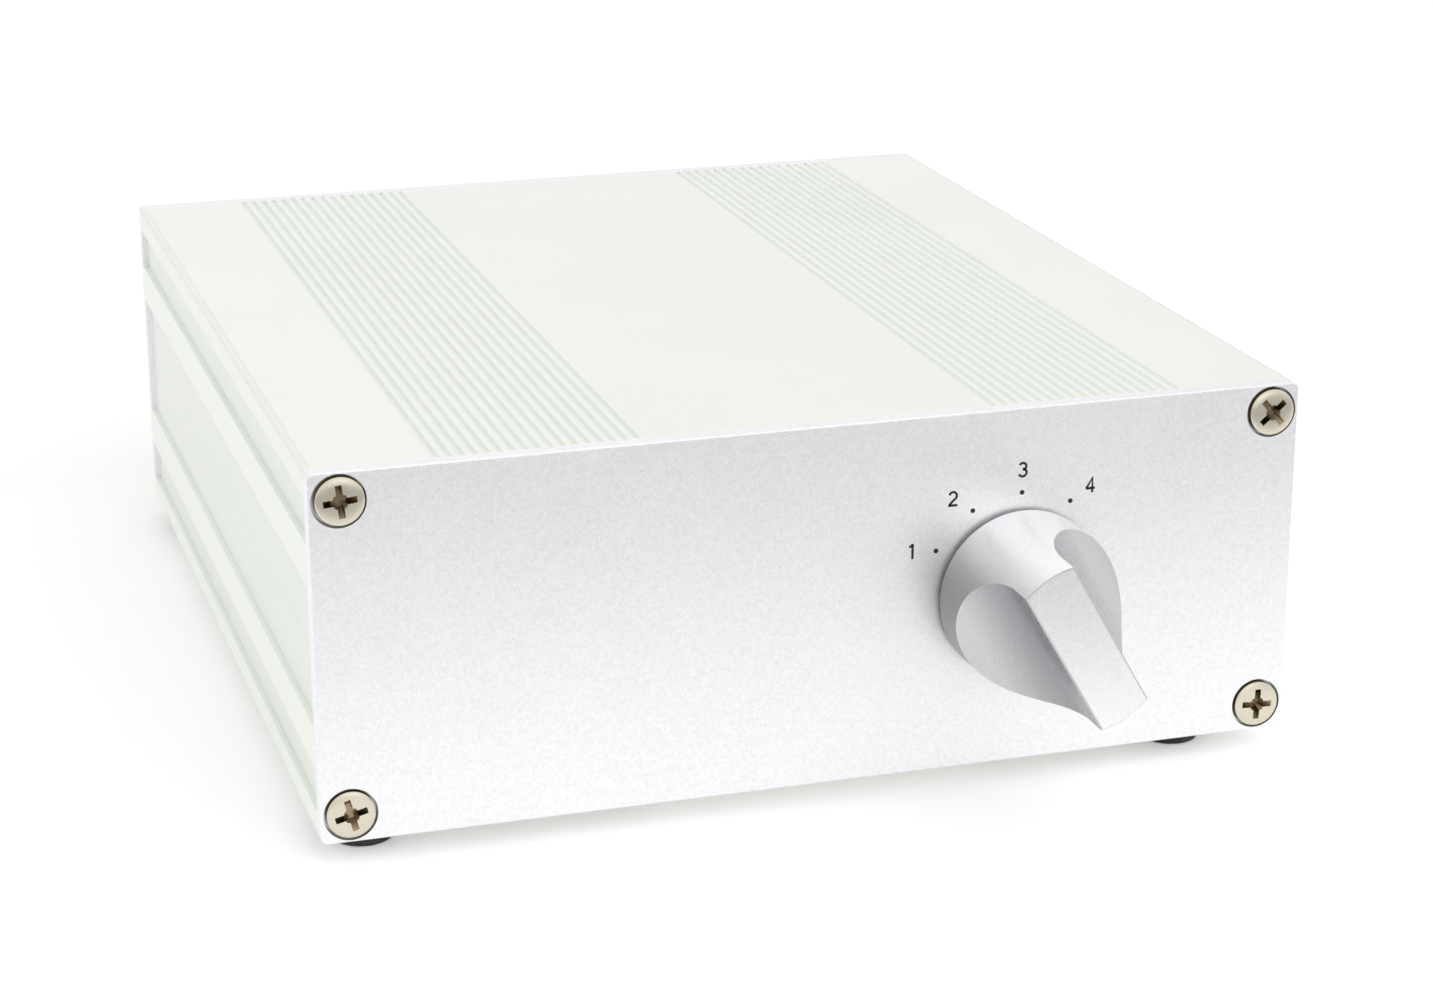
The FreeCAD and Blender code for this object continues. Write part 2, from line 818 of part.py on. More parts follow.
def knob_grub_screw():
    """A headless set screw with a hexagon socket, tight on the shaft's flat."""
    body = new_body("knob_grub_screw", AXIS_X, FRONT_Y - S["knob_panel_gap"], AXIS_Z, knob_rotation())
    flat = S["shaft_radius"] - S["flat_depth"]
    zero = 0 * S["grub_radius"]
    screw = Drawing(body, "grub_screw_body", plane="XZ_Plane", offset=flat)
    screw.circle(zero, S["grub_height"], S["grub_radius"] - S["screw_play"])
    pad(body, screw, S["grub_length"])
    socket = Drawing(body, "grub_screw_socket", plane="XZ_Plane", offset=flat + S["grub_length"])
    hexagon(socket, zero, S["grub_height"], S["grub_radius"])
    cut(body, socket, S["grub_length"] / 3)
    return keep(body, "knob_grub_screw")


def hexagon(drawing, x, y, across_flats):
    """A hexagon with two flats level, by its width across the flats."""
    corner = across_flats / root(Size(3.0, "3"))
    sixth = FULL_TURN / 6
    points = []
    for index in range(6):
        angle = Size(index * sixth, repr(index * sixth))
        points.append((x + corner * cosine(angle), y + corner * sine(angle)))
    drawing.outline(points)


def axis_body(name, back, rotation=FORWARD):
    """A body on the knob's axis that starts some way behind the panel and grows forwards."""
    return new_body(name, AXIS_X, FRONT_INSIDE_Y + back, AXIS_Z, rotation)


def turning_body(name, back):
    """A body that turns with the knob; its local Y points along the knob's bar."""
    return axis_body(name, back, knob_rotation())


def switch_frame():
    """Cast plate and bushing, with a strap above and below that is folded behind the wafer."""
    body = axis_body("switch_frame", S["frame_thickness"])
    zero = 0 * S["shaft_radius"]
    half = S["switch_side"] / 2
    half_strap = S["strap_width"] / 2
    wide = half + S["strap_thickness"]
    plate = Drawing(body, "frame_plate")
    plate.rectangle(-half, -wide, half, wide)
    pad(body, plate, S["frame_thickness"])
    bushing = Drawing(body, "frame_bushing")
    bushing.circle(zero, zero, S["bushing_radius"])
    pad(body, bushing, S["frame_thickness"] + BUSHING_FRONT)
    pin = Drawing(body, "frame_pin")
    pin.circle(zero, -S["pin_offset"], S["pin_radius"])
    pad(body, pin, S["frame_thickness"] + S["pin_length"])
    straps = Drawing(body, "frame_straps")
    tabs = Drawing(body, "frame_tabs", offset=-(WAFER_BACK - S["frame_thickness"]))
    for side in (-1, 1):
        outer = side * wide
        inner = side * half
        tab = side * (half - S["tab_length"])
        low, high = (outer, inner) if side < 0 else (inner, outer)
        straps.rectangle(-half_strap, low, half_strap, high)
        low, high = (outer, tab) if side < 0 else (tab, outer)
        tabs.rectangle(-half_strap, low, half_strap, high)
    pad(body, straps, STRAP_BACK - S["frame_thickness"], down=True)
    pad(body, tabs, S["strap_thickness"], down=True)
    bore = Drawing(body, "frame_bore")
    bore.circle(zero, zero, S["shaft_radius"] + S["shaft_play"])
    cut(body, bore, S["frame_thickness"] + BUSHING_FRONT, up=True)
    return keep(body, "switch_frame")


def switch_washer():
    body = axis_body("switch_washer", -S["panel_thickness"])
    zero = 0 * S["washer_radius"]
    ring = Drawing(body, "washer_ring")
    ring.circle(zero, zero, S["washer_radius"])
    ring.circle(zero, zero, S["bushing_radius"] + S["bushing_play"])
    pad(body, ring, S["washer_thickness"])
    return keep(body, "switch_washer")


def switch_nut():
    body = axis_body("switch_nut", -S["panel_thickness"] - S["washer_thickness"])
    zero = 0 * S["washer_radius"]
    nut = Drawing(body, "nut_outline")
    hexagon(nut, zero, zero, S["nut_across_flats"])
    nut.circle(zero, zero, S["bushing_radius"] + S["shaft_play"])
    pad(body, nut, S["nut_thickness"])
    return keep(body, "switch_nut")


def shaft_retaining_ring():
    """An open spring ring in the shaft's groove, just in front of the bushing."""
    body = turning_body("shaft_retaining_ring", -BUSHING_FRONT - S["ring_play"])
    zero = 0 * S["shaft_radius"]
    half_opening = S["ring_opening"] / 2
    outside = S["shaft_radius"] + S["ring_stand_out"]
    ring = Drawing(body, "ring_outline")
    ring.circle(zero, zero, outside)
    ring.circle(zero, zero, S["shaft_radius"] - S["ring_groove_depth"] + S["shaft_play"])
    pad(body, ring, S["ring_thickness"])
    opening = Drawing(body, "ring_opening")
    opening.rectangle(zero, -half_opening, outside, half_opening)
    cut(body, opening, S["ring_thickness"], up=True)
    return keep(body, "shaft_retaining_ring")


def switch_shaft():
    """The turned shaft: a flat for the knob, a ring groove, a tang for the rotor, a journal."""
    body = turning_body("switch_shaft", WHEEL_BACK)
    zero = 0 * S["shaft_radius"]
    front_reach = WHEEL_BACK + S["panel_thickness"] + S["knob_panel_gap"] + S["knob_bore_depth"]
    length = front_reach - S["cavity_play"]
    rod = Drawing(body, "shaft_rod")
    rod.circle(zero, zero, S["shaft_radius"])
    pad(body, rod, length)
    tang = Drawing(body, "shaft_tang")
    half_width = S["tang_width"] / 2
    half_thick = S["tang_thickness"] / 2
    tang.rectangle(-half_thick, -half_width, half_thick, half_width)
    pad(body, tang, ROTOR_BACK - WHEEL_BACK, down=True)
    journal = Drawing(body, "shaft_journal")
    journal.circle(zero, zero, S["journal_radius"])
    pad(body, journal, WAFER_BACK - WHEEL_BACK, down=True)
    flat = Drawing(body, "shaft_flat", offset=length)
    flat_edge = S["flat_depth"] - S["shaft_radius"]
    flat.rectangle(-S["shaft_radius"], -2 * S["shaft_radius"], S["shaft_radius"], flat_edge)
    cut(body, flat, S["flat_length"])
    groove_start = WHEEL_BACK + BUSHING_FRONT
    groove_width = S["ring_thickness"] + 2 * S["ring_play"]
    groove = Drawing(body, "shaft_groove", offset=groove_start)
    groove.circle(zero, zero, 2 * S["shaft_radius"])
    groove.circle(zero, zero, S["shaft_radius"] - S["ring_groove_depth"])
    cut(body, groove, groove_width, up=True)
    return keep(body, "switch_shaft")


def stop_plate():
    """A thin plate whose curved window lets the wheel's finger travel between the end channels."""
    body = axis_body("stop_plate", STOP_BACK)
    zero = 0 * S["shaft_radius"]
    half = S["switch_side"] / 2
    plate = Drawing(body, "stop_plate_outline")
    plate.rectangle(-half, -half, half, half)
    plate.circle(zero, zero, S["shaft_radius"] + S["bushing_play"])
    pad(body, plate, S["stop_thickness"])
    window = Drawing(body, "stop_plate_window")
    half_finger = S["stop_finger_width"] / 2
    finger_angle = half_finger / S["stop_finger_inner"] * (FULL_TURN / 2 / math.pi)
    margin = finger_angle + S["stop_play"]
    down_angle = FULL_TURN * 3 / 4
    first = down_angle - S["last_turn"] - margin
    last = down_angle - S["first_turn"] + margin
    inner = S["stop_finger_inner"] - S["cavity_play"]
    ring_sector(window, inner, S["wheel_radius"] + S["cavity_play"], first, last)
    cut(body, window, S["stop_thickness"], up=True)
    return keep(body, "stop_plate")


def detent_housing():
    """A moulded block with a round room for the wheel and a slot on top for roller and leaf."""
    body = axis_body("detent_housing", HOUSING_BACK)
    zero = 0 * S["shaft_radius"]
    half = S["switch_side"] / 2
    block = Drawing(body, "housing_block")
    block.rectangle(-half, -half, half, half)
    block.circle(zero, zero, S["cavity_radius"])
    pad(body, block, S["housing_depth"])
    leaf_level = S["wheel_radius"] + S["roller_play"] + 2 * S["roller_radius"]
    half_slot = S["roller_radius"] + S["roller_play"]
    slot = Drawing(body, "housing_roller_slot")
    slot.rectangle(-half_slot, S["wheel_radius"], half_slot, half)
    cut(body, slot, S["housing_depth"], up=True)
    half_leaf = S["leaf_length"] / 2 + S["roller_play"]
    shelf = Drawing(body, "housing_leaf_shelf")
    shelf.rectangle(-half_leaf, leaf_level, half_leaf, half)
    cut(body, shelf, S["housing_depth"], up=True)
    return keep(body, "detent_housing")


def detent_wheel():
    """A wheel with a notch every step and a finger in front that meets the stops."""
    body = turning_body("detent_wheel", WHEEL_BACK)
    zero = 0 * S["shaft_radius"]
    disc = Drawing(body, "wheel_disc")
    disc.circle(zero, zero, S["wheel_radius"])
    disc.circle(zero, zero, S["shaft_radius"] + S["shaft_play"])
    pad(body, disc, S["wheel_thickness"])
    notch = Drawing(body, "wheel_notch")
    beyond = S["wheel_radius"] + S["notch_depth"]
    floor = S["wheel_radius"] - S["notch_depth"]
    notch.outline([(zero, floor), (2 * S["notch_depth"], beyond), (-2 * S["notch_depth"], beyond)])
    first = cut(body, notch, S["wheel_thickness"], up=True)
    repeat_around(body, first, S["notch_count"])
    finger = Drawing(body, "wheel_finger", offset=S["wheel_thickness"])
    half = S["stop_finger_width"] / 2
    tip = S["wheel_radius"] - S["notch_depth"]
    finger.rectangle(-half, -tip, half, -S["stop_finger_inner"])
    pad(body, finger, S["cavity_play"] + S["stop_thickness"] - S["roller_play"])
    return keep(body, "detent_wheel")


def detent_roller():
    """The roller that drops from notch to notch; it is drawn level with the wheel's rim."""
    body = axis_body("detent_roller", WHEEL_BACK)
    zero = 0 * S["shaft_radius"]
    centre = S["wheel_radius"] + S["roller_play"] + S["roller_radius"]
    roller = Drawing(body, "roller_outline")
    roller.circle(zero, centre, S["roller_radius"])
    pad(body, roller, S["wheel_thickness"])
    return keep(body, "detent_roller")


def detent_leaf_spring():
    """A flat leaf on the housing's shelf that presses the roller into the wheel."""
    middle = WHEEL_BACK - (S["wheel_thickness"] - S["leaf_width"]) / 2
    body = axis_body("detent_leaf_spring", middle)
    half = S["leaf_length"] / 2
    level = S["wheel_radius"] + S["roller_play"] + 2 * S["roller_radius"] + S["shaft_play"]
    leaf = Drawing(body, "leaf_outline")
    leaf.rectangle(-half, level, half, level + S["leaf_thickness"])
    pad(body, leaf, S["leaf_width"])
    return keep(body, "detent_leaf_spring")


def switch_rotor():
    """The moulded arm on the shaft's tang that carries the wipers."""
    body = turning_body("switch_rotor", ROTOR_BACK)
    half_length = S["rotor_length"] / 2
    half_width = S["rotor_width"] / 2
    hole_y = S["tang_width"] / 2 + S["shaft_play"]
    hole_x = S["tang_thickness"] / 2 + S["shaft_play"]
    arm = Drawing(body, "rotor_arm")
    arm.rectangle(-half_width, -half_length, half_width, half_length)
    arm.rectangle(-hole_x, -hole_y, hole_x, hole_y)
    pad(body, arm, S["rotor_thickness"])
    return keep(body, "switch_rotor")


def rotor_wipers():
    """Two sprung strips, one for each pole, that join a common to the chosen way."""
    body = turning_body("rotor_wiper_master", WIPER_BACK - S["wiper_play"])
    half = S["wiper_width"] / 2
    inner = S["common_radius"] - S["common_width"] / 2
    wiper = Drawing(body, "wiper_outline")
    wiper.rectangle(-half, inner, half, inner + S["wiper_length"])
    pad(body, wiper, S["wiper_thickness"] - S["wiper_play"])
    mirror_copy = Drawing(body, "wiper_outline_below")
    mirror_copy.rectangle(-half, -inner - S["wiper_length"], half, -inner)
    pad(body, mirror_copy, S["wiper_thickness"] - S["wiper_play"])
    return keep(body, "rotor_wipers")


def terminal_angles():
    """Directions of the terminals from the X axis: four ways for each of the two poles."""
    way_angles = []
    for way in range(WAYS):
        clockwise_from_top = SIZES["first_turn"] + way * SIZES["step_turn"]
        way_angles.append(FULL_TURN / 4 - clockwise_from_top)
    return way_angles, [angle - FULL_TURN / 2 for angle in way_angles]


def way_contact_master():
    """One way's contact pad with its terminal, on the X axis of its own frame."""
    body = new_body("way_contact_master")
    inner = S["contact_radius"] - S["contact_length"] / 2
    half = S["contact_width"] / 2
    pad_face = Drawing(body, "way_pad")
    pad_face.rectangle(inner, -half, inner + S["contact_length"], half)
    pad(body, pad_face, S["contact_thickness"])
    leg_length = SWITCH_BOARD_BACK + S["terminal_proud"] - HOUSING_BACK
    leg = Drawing(body, "way_leg")
    half_leg = S["terminal_side"] / 2
    leg.rectangle(S["contact_radius"] - half_leg, -half_leg, S["contact_radius"] + half_leg, half_leg)
    pad(body, leg, leg_length, down=True)
    return body


def common_contact_master():
    """A pole's common: a curved track with a terminal in the middle of it."""
    body = new_body("common_contact_master")
    inner = S["common_radius"] - S["common_width"] / 2
    outer = S["common_radius"] + S["common_width"] / 2
    track = Drawing(body, "common_track")
    ring_sector(track, inner, outer, -S["common_reach"], S["common_reach"])
    pad(body, track, S["contact_thickness"])
    leg_length = SWITCH_BOARD_BACK + S["terminal_proud"] - HOUSING_BACK
    leg = Drawing(body, "common_leg")
    half_leg = S["terminal_side"] / 2
    leg.rectangle(S["common_radius"] - half_leg, -half_leg, S["common_radius"] + half_leg, half_leg)
    pad(body, leg, leg_length, down=True)
    return body


def contact_rotation(angle):
    """Turns a contact to its place on the wafer, seen from the front."""
    return FORWARD.multiply(Rotation(Vector(0, 0, 1), angle))


def middle_angle():
    """The middle of the knob's travel, from the X axis."""
    return FULL_TURN / 4 - (SIZES["first_turn"] + SIZES["last_turn"]) / 2


def switch_contacts():
    way = way_contact_master()
    common = common_contact_master()
    y = FRONT_INSIDE_Y + HOUSING_BACK
    first_pole, second_pole = terminal_angles()
    angles = first_pole + second_pole
    copies("way_contacts", way, [(AXIS_X, y, AXIS_Z, contact_rotation(angle)) for angle in angles])
    ends = (middle_angle(), middle_angle() - FULL_TURN / 2)
    copies("common_contacts", common, [(AXIS_X, y, AXIS_Z, contact_rotation(angle)) for angle in ends])


def terminal_holes(body, name, length):
    """Square holes for every terminal, cut up from the body's XY plane."""
    half = S["terminal_side"] / 2 + S["terminal_play"]
    first_pole, second_pole = terminal_angles()
    spots = [(S["contact_radius"], angle) for angle in first_pole + second_pole]
    spots += [(S["common_radius"], middle_angle()), (S["common_radius"], middle_angle() - FULL_TURN / 2)]
    holes = Drawing(body, name)
    for radius, angle in spots:
        turn = Size(angle, repr(float(angle)))
        corners = []
        for along, across in ((-1, -1), (1, -1), (1, 1), (-1, 1)):
            out = radius + along * half
            side = across * half
            corners.append((out * cosine(turn) - side * sine(turn), out * sine(turn) + side * cosine(turn)))
        holes.outline(corners)
    cut(body, holes, length, up=True)


def switch_wafer():
    """The insulating plate that closes the switch and carries the fixed contacts."""
    body = axis_body("switch_wafer", WAFER_BACK)
    zero = 0 * S["shaft_radius"]
    half = S["switch_side"] / 2
    plate = Drawing(body, "wafer_plate")
    plate.rectangle(-half, -half, half, half)
    plate.circle(zero, zero, S["journal_radius"] + S["shaft_play"])
    pad(body, plate, S["wafer_thickness"])
    terminal_holes(body, "wafer_terminal_holes", S["wafer_thickness"])
    return keep(body, "switch_wafer")


def switch_board():
    """The small circuit board that the switch's terminals are soldered into."""
    body = axis_body("switch_board", SWITCH_BOARD_BACK)
    half_width = S["switch_board_width"] / 2
    bottom = HEADER_Z - S["header_width"] / 2 - S["board_margin"] - AXIS_Z
    top = S["contact_radius"] + S["switch_board_margin"]
    plate = Drawing(body, "switch_board_plate")
    plate.rectangle(-half_width, bottom, half_width, top)
    pad(body, plate, S["board_thickness"])
    terminal_holes(body, "switch_board_terminal_holes", S["board_thickness"])
    return keep(body, "switch_board")


def ribbon_set():
    """Two headers, their plugs and the flat cable between them."""
    left = AXIS_X - S["header_length"] / 2
    right = AXIS_X + S["header_length"] / 2
    half_header = S["header_width"] / 2
    half_plug = S["plug_width"] / 2
    front = FRONT_INSIDE_Y + SWITCH_BOARD_BACK
    seam = front + S["header_height"]
    back = seam + S["plug_height"]
    low = HEADER_Z - half_header
    keep(box("switch_header", left, right, front, seam, low, HEADER_Z + half_header), "switch_header")
    board_front = REAR_INSIDE_Y - S["board_play"] - S["socket_board_depth"]
    middle = board_front + S["board_margin"] + half_plug
    near = middle - half_header
    far = middle + half_header
    header = box("socket_board_header", left, right, near, far, SOCKET_BOARD_TOP, HEADER_TOP)
    keep(header, "socket_board_header")

    plug_top = HEADER_Z + half_plug
    switch_plug = box("switch_plug", left, right, seam, back, HEADER_Z - half_plug, plug_top)
    near = middle - half_plug
    far = middle + half_plug
    board_plug_top = HEADER_TOP + S["plug_height"]
    board_plug = box("board_plug", left, right, near, far, HEADER_TOP, board_plug_top)
    plugs = DOC.addObject("Part::Compound", "ribbon_plugs")
    plugs.Links = [switch_plug, board_plug]
    keep(plugs, "ribbon_plugs")

    zero = 0 * S["ribbon_width"]
    body = new_body("ribbon_cable", AXIS_X, zero, zero)
    half_thick = S["ribbon_thickness"] / 2
    inner_bend = S["ribbon_bend"] - half_thick
    outer_bend = S["ribbon_bend"] + half_thick
    rise_y = (seam + back) / 2
    cable = Drawing(body, "ribbon_path", plane="YZ_Plane")
    cable.outline(
        [
            (rise_y + half_thick, plug_top),
            (rise_y + half_thick, CABLE_Z - half_thick, inner_bend),
            (near, CABLE_Z - half_thick),
            (near, CABLE_Z + half_thick),
            (rise_y - half_thick, CABLE_Z + half_thick, outer_bend),
            (rise_y - half_thick, plug_top),
        ]
    )
    pad(body, cable, S["ribbon_width"], both_ways=True)
    keep(body, "ribbon_cable")


def socket_board():
    """The circuit board behind the rear panel, held between the case's channels and rails."""
    zero = 0 * S["board_thickness"]
    body = new_body("socket_board", zero, REAR_INSIDE_Y, SOCKET_BOARD_Z)
    reach = HALF_WIDTH - S["side_wall"] - S["board_play"]
    plate = Drawing(body, "socket_board_plate")
    plate.rectangle(-reach, -S["board_play"] - S["socket_board_depth"], reach, -S["board_play"])
    pad(body, plate, S["board_thickness"])
    holes = Drawing(body, "socket_board_tail_holes")
    half = S["tail_width"] / 2 + S["fork_play"]
    for column in socket_columns():
        for depth in (FORK_DEPTH, FORK_DEPTH + S["tail_gap"] + S["fork_thickness"]):
            near = -depth - S["fork_thickness"] - S["fork_play"]
            far = -depth + S["fork_play"]
            holes.rectangle(column - half, near, column + half, far)
    cut(body, holes, S["board_thickness"], up=True)
    return keep(body, "socket_board")


def socket_spots():
    """Column and row of every socket, left channel above and right channel below."""
    return [(column, row) for row in (UPPER_ROW_Z, LOWER_ROW_Z) for column in socket_columns()]


def socket_blocks():
    """Moulded blocks on the board; each has a tunnel behind its upper and its lower socket."""
    body = new_body("socket_block_master")
    half = S["block_width"] / 2
    half_row = S["socket_row_pitch"] / 2
    block = Drawing(body, "block_outline")
    top = half_row + S["socket_radius"] + S["block_wall"]
    block.rectangle(-half, SOCKET_BOARD_TOP - MIDDLE_Z, half, top)
    pad(body, block, S["block_depth"])
    tunnels = Drawing(body, "block_tunnels")
    half_wide = S["fork_width"] / 2 + S["fork_play"]
    half_tall = S["socket_bore_radius"] + S["fork_thickness"] + S["fork_play"]
    for row in (-half_row, half_row):
        tunnels.rectangle(-half_wide, row - half_tall, half_wide, row + half_tall)
    cut(body, tunnels, S["block_depth"], up=True)
    places = [(column, REAR_INSIDE_Y, MIDDLE_Z, FORWARD) for column in socket_columns()]
    copies("socket_blocks", body, places)


def fork_master(name, row, depth):
    """A socket's centre contact: two sprung leaves with a tail that is bent down to the board."""
    body = new_body(name)
    inner = S["socket_bore_radius"]
    outer = inner + S["fork_thickness"]
    back = depth + S["fork_thickness"]
    fork = Drawing(body, name + "_leaves", plane="YZ_Plane")
    fork.outline(
        [
            (row - outer, S["fork_play"]),
            (row - inner, S["fork_play"]),
            (row - inner, depth),
            (row + inner, depth),
            (row + inner, S["fork_play"]),
            (row + outer, S["fork_play"]),
            (row + outer, back),
            (row - outer, back),
        ]
    )
    pad(body, fork, S["fork_width"], both_ways=True)
    tail = Drawing(body, name + "_tail", plane="YZ_Plane")
    tail.rectangle(SOCKET_BOARD_Z - S["terminal_proud"] - MIDDLE_Z, depth, row - outer, back)
    pad(body, tail, S["tail_width"], both_ways=True)
    return body


def socket_contacts():
    """Ten forks; the upper ones reach further in, so that their tails clear the lower ones."""
    half_row = S["socket_row_pitch"] / 2
    upper_depth = FORK_DEPTH + S["tail_gap"] + S["fork_thickness"]
    rows = (
        ("upper_socket_contacts", fork_master("upper_fork_master", half_row, upper_depth)),
        ("lower_socket_contacts", fork_master("lower_fork_master", -half_row, FORK_DEPTH)),
    )
    for name, master in rows:
        places = [(column, REAR_INSIDE_Y, MIDDLE_Z, FORWARD) for column in socket_columns()]
        copies(name, master, places)


def tube_master(name, outer, inner, length):
    """A plain tube that stands on its own XY plane."""
    body = new_body(name)
    zero = 0 * S["socket_radius"]
    ring = Drawing(body, name + "_ring")
    ring.circle(zero, zero, outer)
    ring.circle(zero, zero, inner)
    pad(body, ring, length)
    return body


def sockets():
    """Metal shells outside the rear panel, each over the end of an insert that comes through."""
    stand_out = S["socket_stand_out"]
    shell = tube_master("socket_shell_master", S["socket_radius"], SOCKET_INSIDE, stand_out)
    copies("socket_shells", shell, [(x, REAR_Y, z, BACKWARD) for x, z in socket_spots()])
    insert = tube_master(
        "socket_insert_master",
        SOCKET_INSIDE - S["insert_play"],
        S["socket_bore_radius"],
        S["panel_thickness"] + stand_out - S["insert_recess"],
    )
    columns = socket_columns()
    rows = (("left_socket_inserts", UPPER_ROW_Z), ("right_socket_inserts", LOWER_ROW_Z))
    for name, row in rows:
        copies(name, insert, [(column, REAR_INSIDE_Y, row, BACKWARD) for column in columns])


def build():
    case_half("upper_shell", FORWARD)
    case_half("lower_shell", Rotation(Vector(0, 1, 0), 180).multiply(FORWARD))
    front_panel()
    rear_panel()
    panel_screws()
    rubber_feet()
    knob()
    knob_grub_screw()
    switch_frame()
    switch_washer()
    switch_nut()
    shaft_retaining_ring()
    switch_shaft()
    stop_plate()
    detent_housing()
    detent_wheel()
    detent_roller()
    detent_leaf_spring()
    switch_rotor()
    rotor_wipers()
    switch_contacts()
    switch_wafer()
    switch_board()
    ribbon_set()
    socket_board()
    socket_blocks()
    socket_contacts()
    sockets()
    DOC.recompute()


def check():
    """Stop before writing if any object failed or any sub-part is not a sound solid."""
    for item in DOC.Objects:
        if "Invalid" in item.State or "Error" in item.State:
            raise RuntimeError("{} failed: {}".format(item.Name, item.getStatusString()))
    for piece in PIECES:
        shape = piece.Shape
        if shape.isNull() or not shape.isValid() or not shape.Solids:
            raise RuntimeError("{} has no sound solid".format(piece.Label))


def export():
    os.makedirs("parts", exist_ok=True)
    for piece in PIECES:
        piece.Shape.exportStep("parts/{}.step".format(piece.Label))
        solids = piece.Shape.Solids
        print("{}: {} solids, {:.1f} mm3".format(piece.Label, len(solids), piece.Shape.Volume))


build()
check()
export()
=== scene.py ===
import json
import math

import bmesh
import bpy
from mathutils import Euler, Matrix, Vector


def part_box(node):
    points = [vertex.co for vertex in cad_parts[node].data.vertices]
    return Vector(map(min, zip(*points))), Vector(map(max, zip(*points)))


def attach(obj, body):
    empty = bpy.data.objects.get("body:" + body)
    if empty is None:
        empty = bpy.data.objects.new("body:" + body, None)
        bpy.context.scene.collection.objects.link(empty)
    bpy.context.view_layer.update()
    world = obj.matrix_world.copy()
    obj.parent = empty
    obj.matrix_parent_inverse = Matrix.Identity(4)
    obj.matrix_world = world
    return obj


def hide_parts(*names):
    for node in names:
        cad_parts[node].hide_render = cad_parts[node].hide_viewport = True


bl_info = {
    "name": "Source selector finish",
    "version": (1, 0, 0),
    "blender": (4, 5, 0),
    "location": "View3D > Sidebar > Selector",
    "description": "Finishes a four-way audio source selector: case, knob, screws, print, sockets",
    "category": "Object",
}

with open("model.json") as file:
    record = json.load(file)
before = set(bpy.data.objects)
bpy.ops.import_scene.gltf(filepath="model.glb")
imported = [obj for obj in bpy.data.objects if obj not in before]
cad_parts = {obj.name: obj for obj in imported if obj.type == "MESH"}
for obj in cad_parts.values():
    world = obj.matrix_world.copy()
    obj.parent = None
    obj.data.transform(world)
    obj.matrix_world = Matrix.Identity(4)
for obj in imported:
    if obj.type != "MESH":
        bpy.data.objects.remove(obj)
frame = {"nodes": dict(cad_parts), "record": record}

MM = 0.001
FULL = 2 * math.pi
CASE_BODY = "case"
TURNING_BODY = "selector"
JOINTS = frame["record"]["behaviour"]["joints"]
AXIS = Vector(next(joint["pos_m"] for joint in JOINTS if joint["name"] == "knob_turn"))
PANEL_LOW, PANEL_HIGH = (Vector(corner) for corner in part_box("front_panel"))
REAR_LOW, REAR_HIGH = (Vector(corner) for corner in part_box("rear_panel"))
KNOB_LOW, KNOB_HIGH = (Vector(corner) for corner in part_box("knob"))
KNOB_RADIUS = (KNOB_HIGH.x - KNOB_LOW.x) / 2
KNOB_LENGTH = KNOB_HIGH.y - KNOB_LOW.y
FACE_Y = PANEL_LOW.y
MIDDLE_Z = (PANEL_LOW.z + PANEL_HIGH.z) / 2
FORWARD = (math.pi / 2, 0.0, 0.0)
BACKWARD = (-math.pi / 2, 0.0, 0.0)
WHITE = (1.0, 1.0, 1.0, 1.0)


def millimetres(name, about, default):
    """A length property, given in millimetres and kept in metres."""
    return bpy.props.FloatProperty(
        name=name, description=about, default=default * MM, min=0.0, unit="LENGTH", precision=5
    )


def degrees(name, about, default):
    return bpy.props.FloatProperty(
        name=name, description=about, default=math.radians(default), subtype="ANGLE"
    )


def tint(name, about, default):
    return bpy.props.FloatVectorProperty(
        name=name, description=about, default=default, subtype="COLOR", min=0.0, max=1.0, size=3
    )


def share(name, about, default, high=1.0):
    return bpy.props.FloatProperty(
        name=name, description=about, default=default, min=0.0, max=high, subtype="FACTOR"
    )


class MetalSettings(bpy.types.PropertyGroup):
    """Colours and grain of the aluminium and steel parts."""

    case_colour: tint("Case", "Clear anodised extrusion", (0.90, 0.925, 0.875))
    # Painted shade: the sunk bands and groove floors are coloured darker where shade falls in them
    case_painted_shade_colour: tint("Sunk bands", "Side bands and floors of the grooves", (0.84, 0.865, 0.82))
    panel_colour: tint("End plates", "Clear anodised plate", (0.915, 0.918, 0.935))
    knob_colour: tint("Knob", "Satin turned aluminium", (0.95, 0.95, 0.955))
    # Painted shade: the left of the knob's turned wall is coloured darker as if shaded
    painted_wall_shade_colour: tint("Knob wall", "Shaded left of the knob's turned wall", (0.33, 0.325, 0.32))
    # Milled finish, and also darkened as painted shade in the hollow of the scoops
    milled_and_shade_colour: tint("Milled scoops", "Machined faces of the knob", (0.60, 0.605, 0.612))
    # Painted shade in the corner where a scoop meets the grip bar
    painted_root_shade_colour: tint("Scoop root", "Darker band where a scoop meets the grip bar", (0.33, 0.335, 0.35))
    chamfer_colour: tint("Chamfers", "Broken edges of the knob", (0.55, 0.55, 0.56))
    # Painted shade in the driver's cross, and painted shadow of the gap round each head on its rim
    screw_recess_shade_colour: tint("Screw recess", "Driver's cross and rim of the screws", (0.33, 0.26, 0.17))
    nickel_colour: tint("Screws", "Nickel plating on steel", (0.70, 0.66, 0.54))
    gold_colour: tint("Sockets", "Gold coloured plating", (0.83, 0.62, 0.28))
    grain: millimetres("Grain", "Size of the blasted grain", 0.16)
    case_roughness: share("Case roughness", "Roughness of the extrusion", 0.52)
    panel_roughness: share("Plate roughness", "Roughness of the end plates", 0.44)
    knob_roughness: share("Knob roughness", "Roughness of the knob", 0.36)
    milled_roughness: share("Milled roughness", "Roughness of the knob's scoops", 0.28)
    chamfer_roughness: share("Chamfer roughness", "Roughness of the knob's broken edges", 0.15)
    recess_roughness: share("Recess roughness", "Roughness of the driver's cross and rim", 0.24)


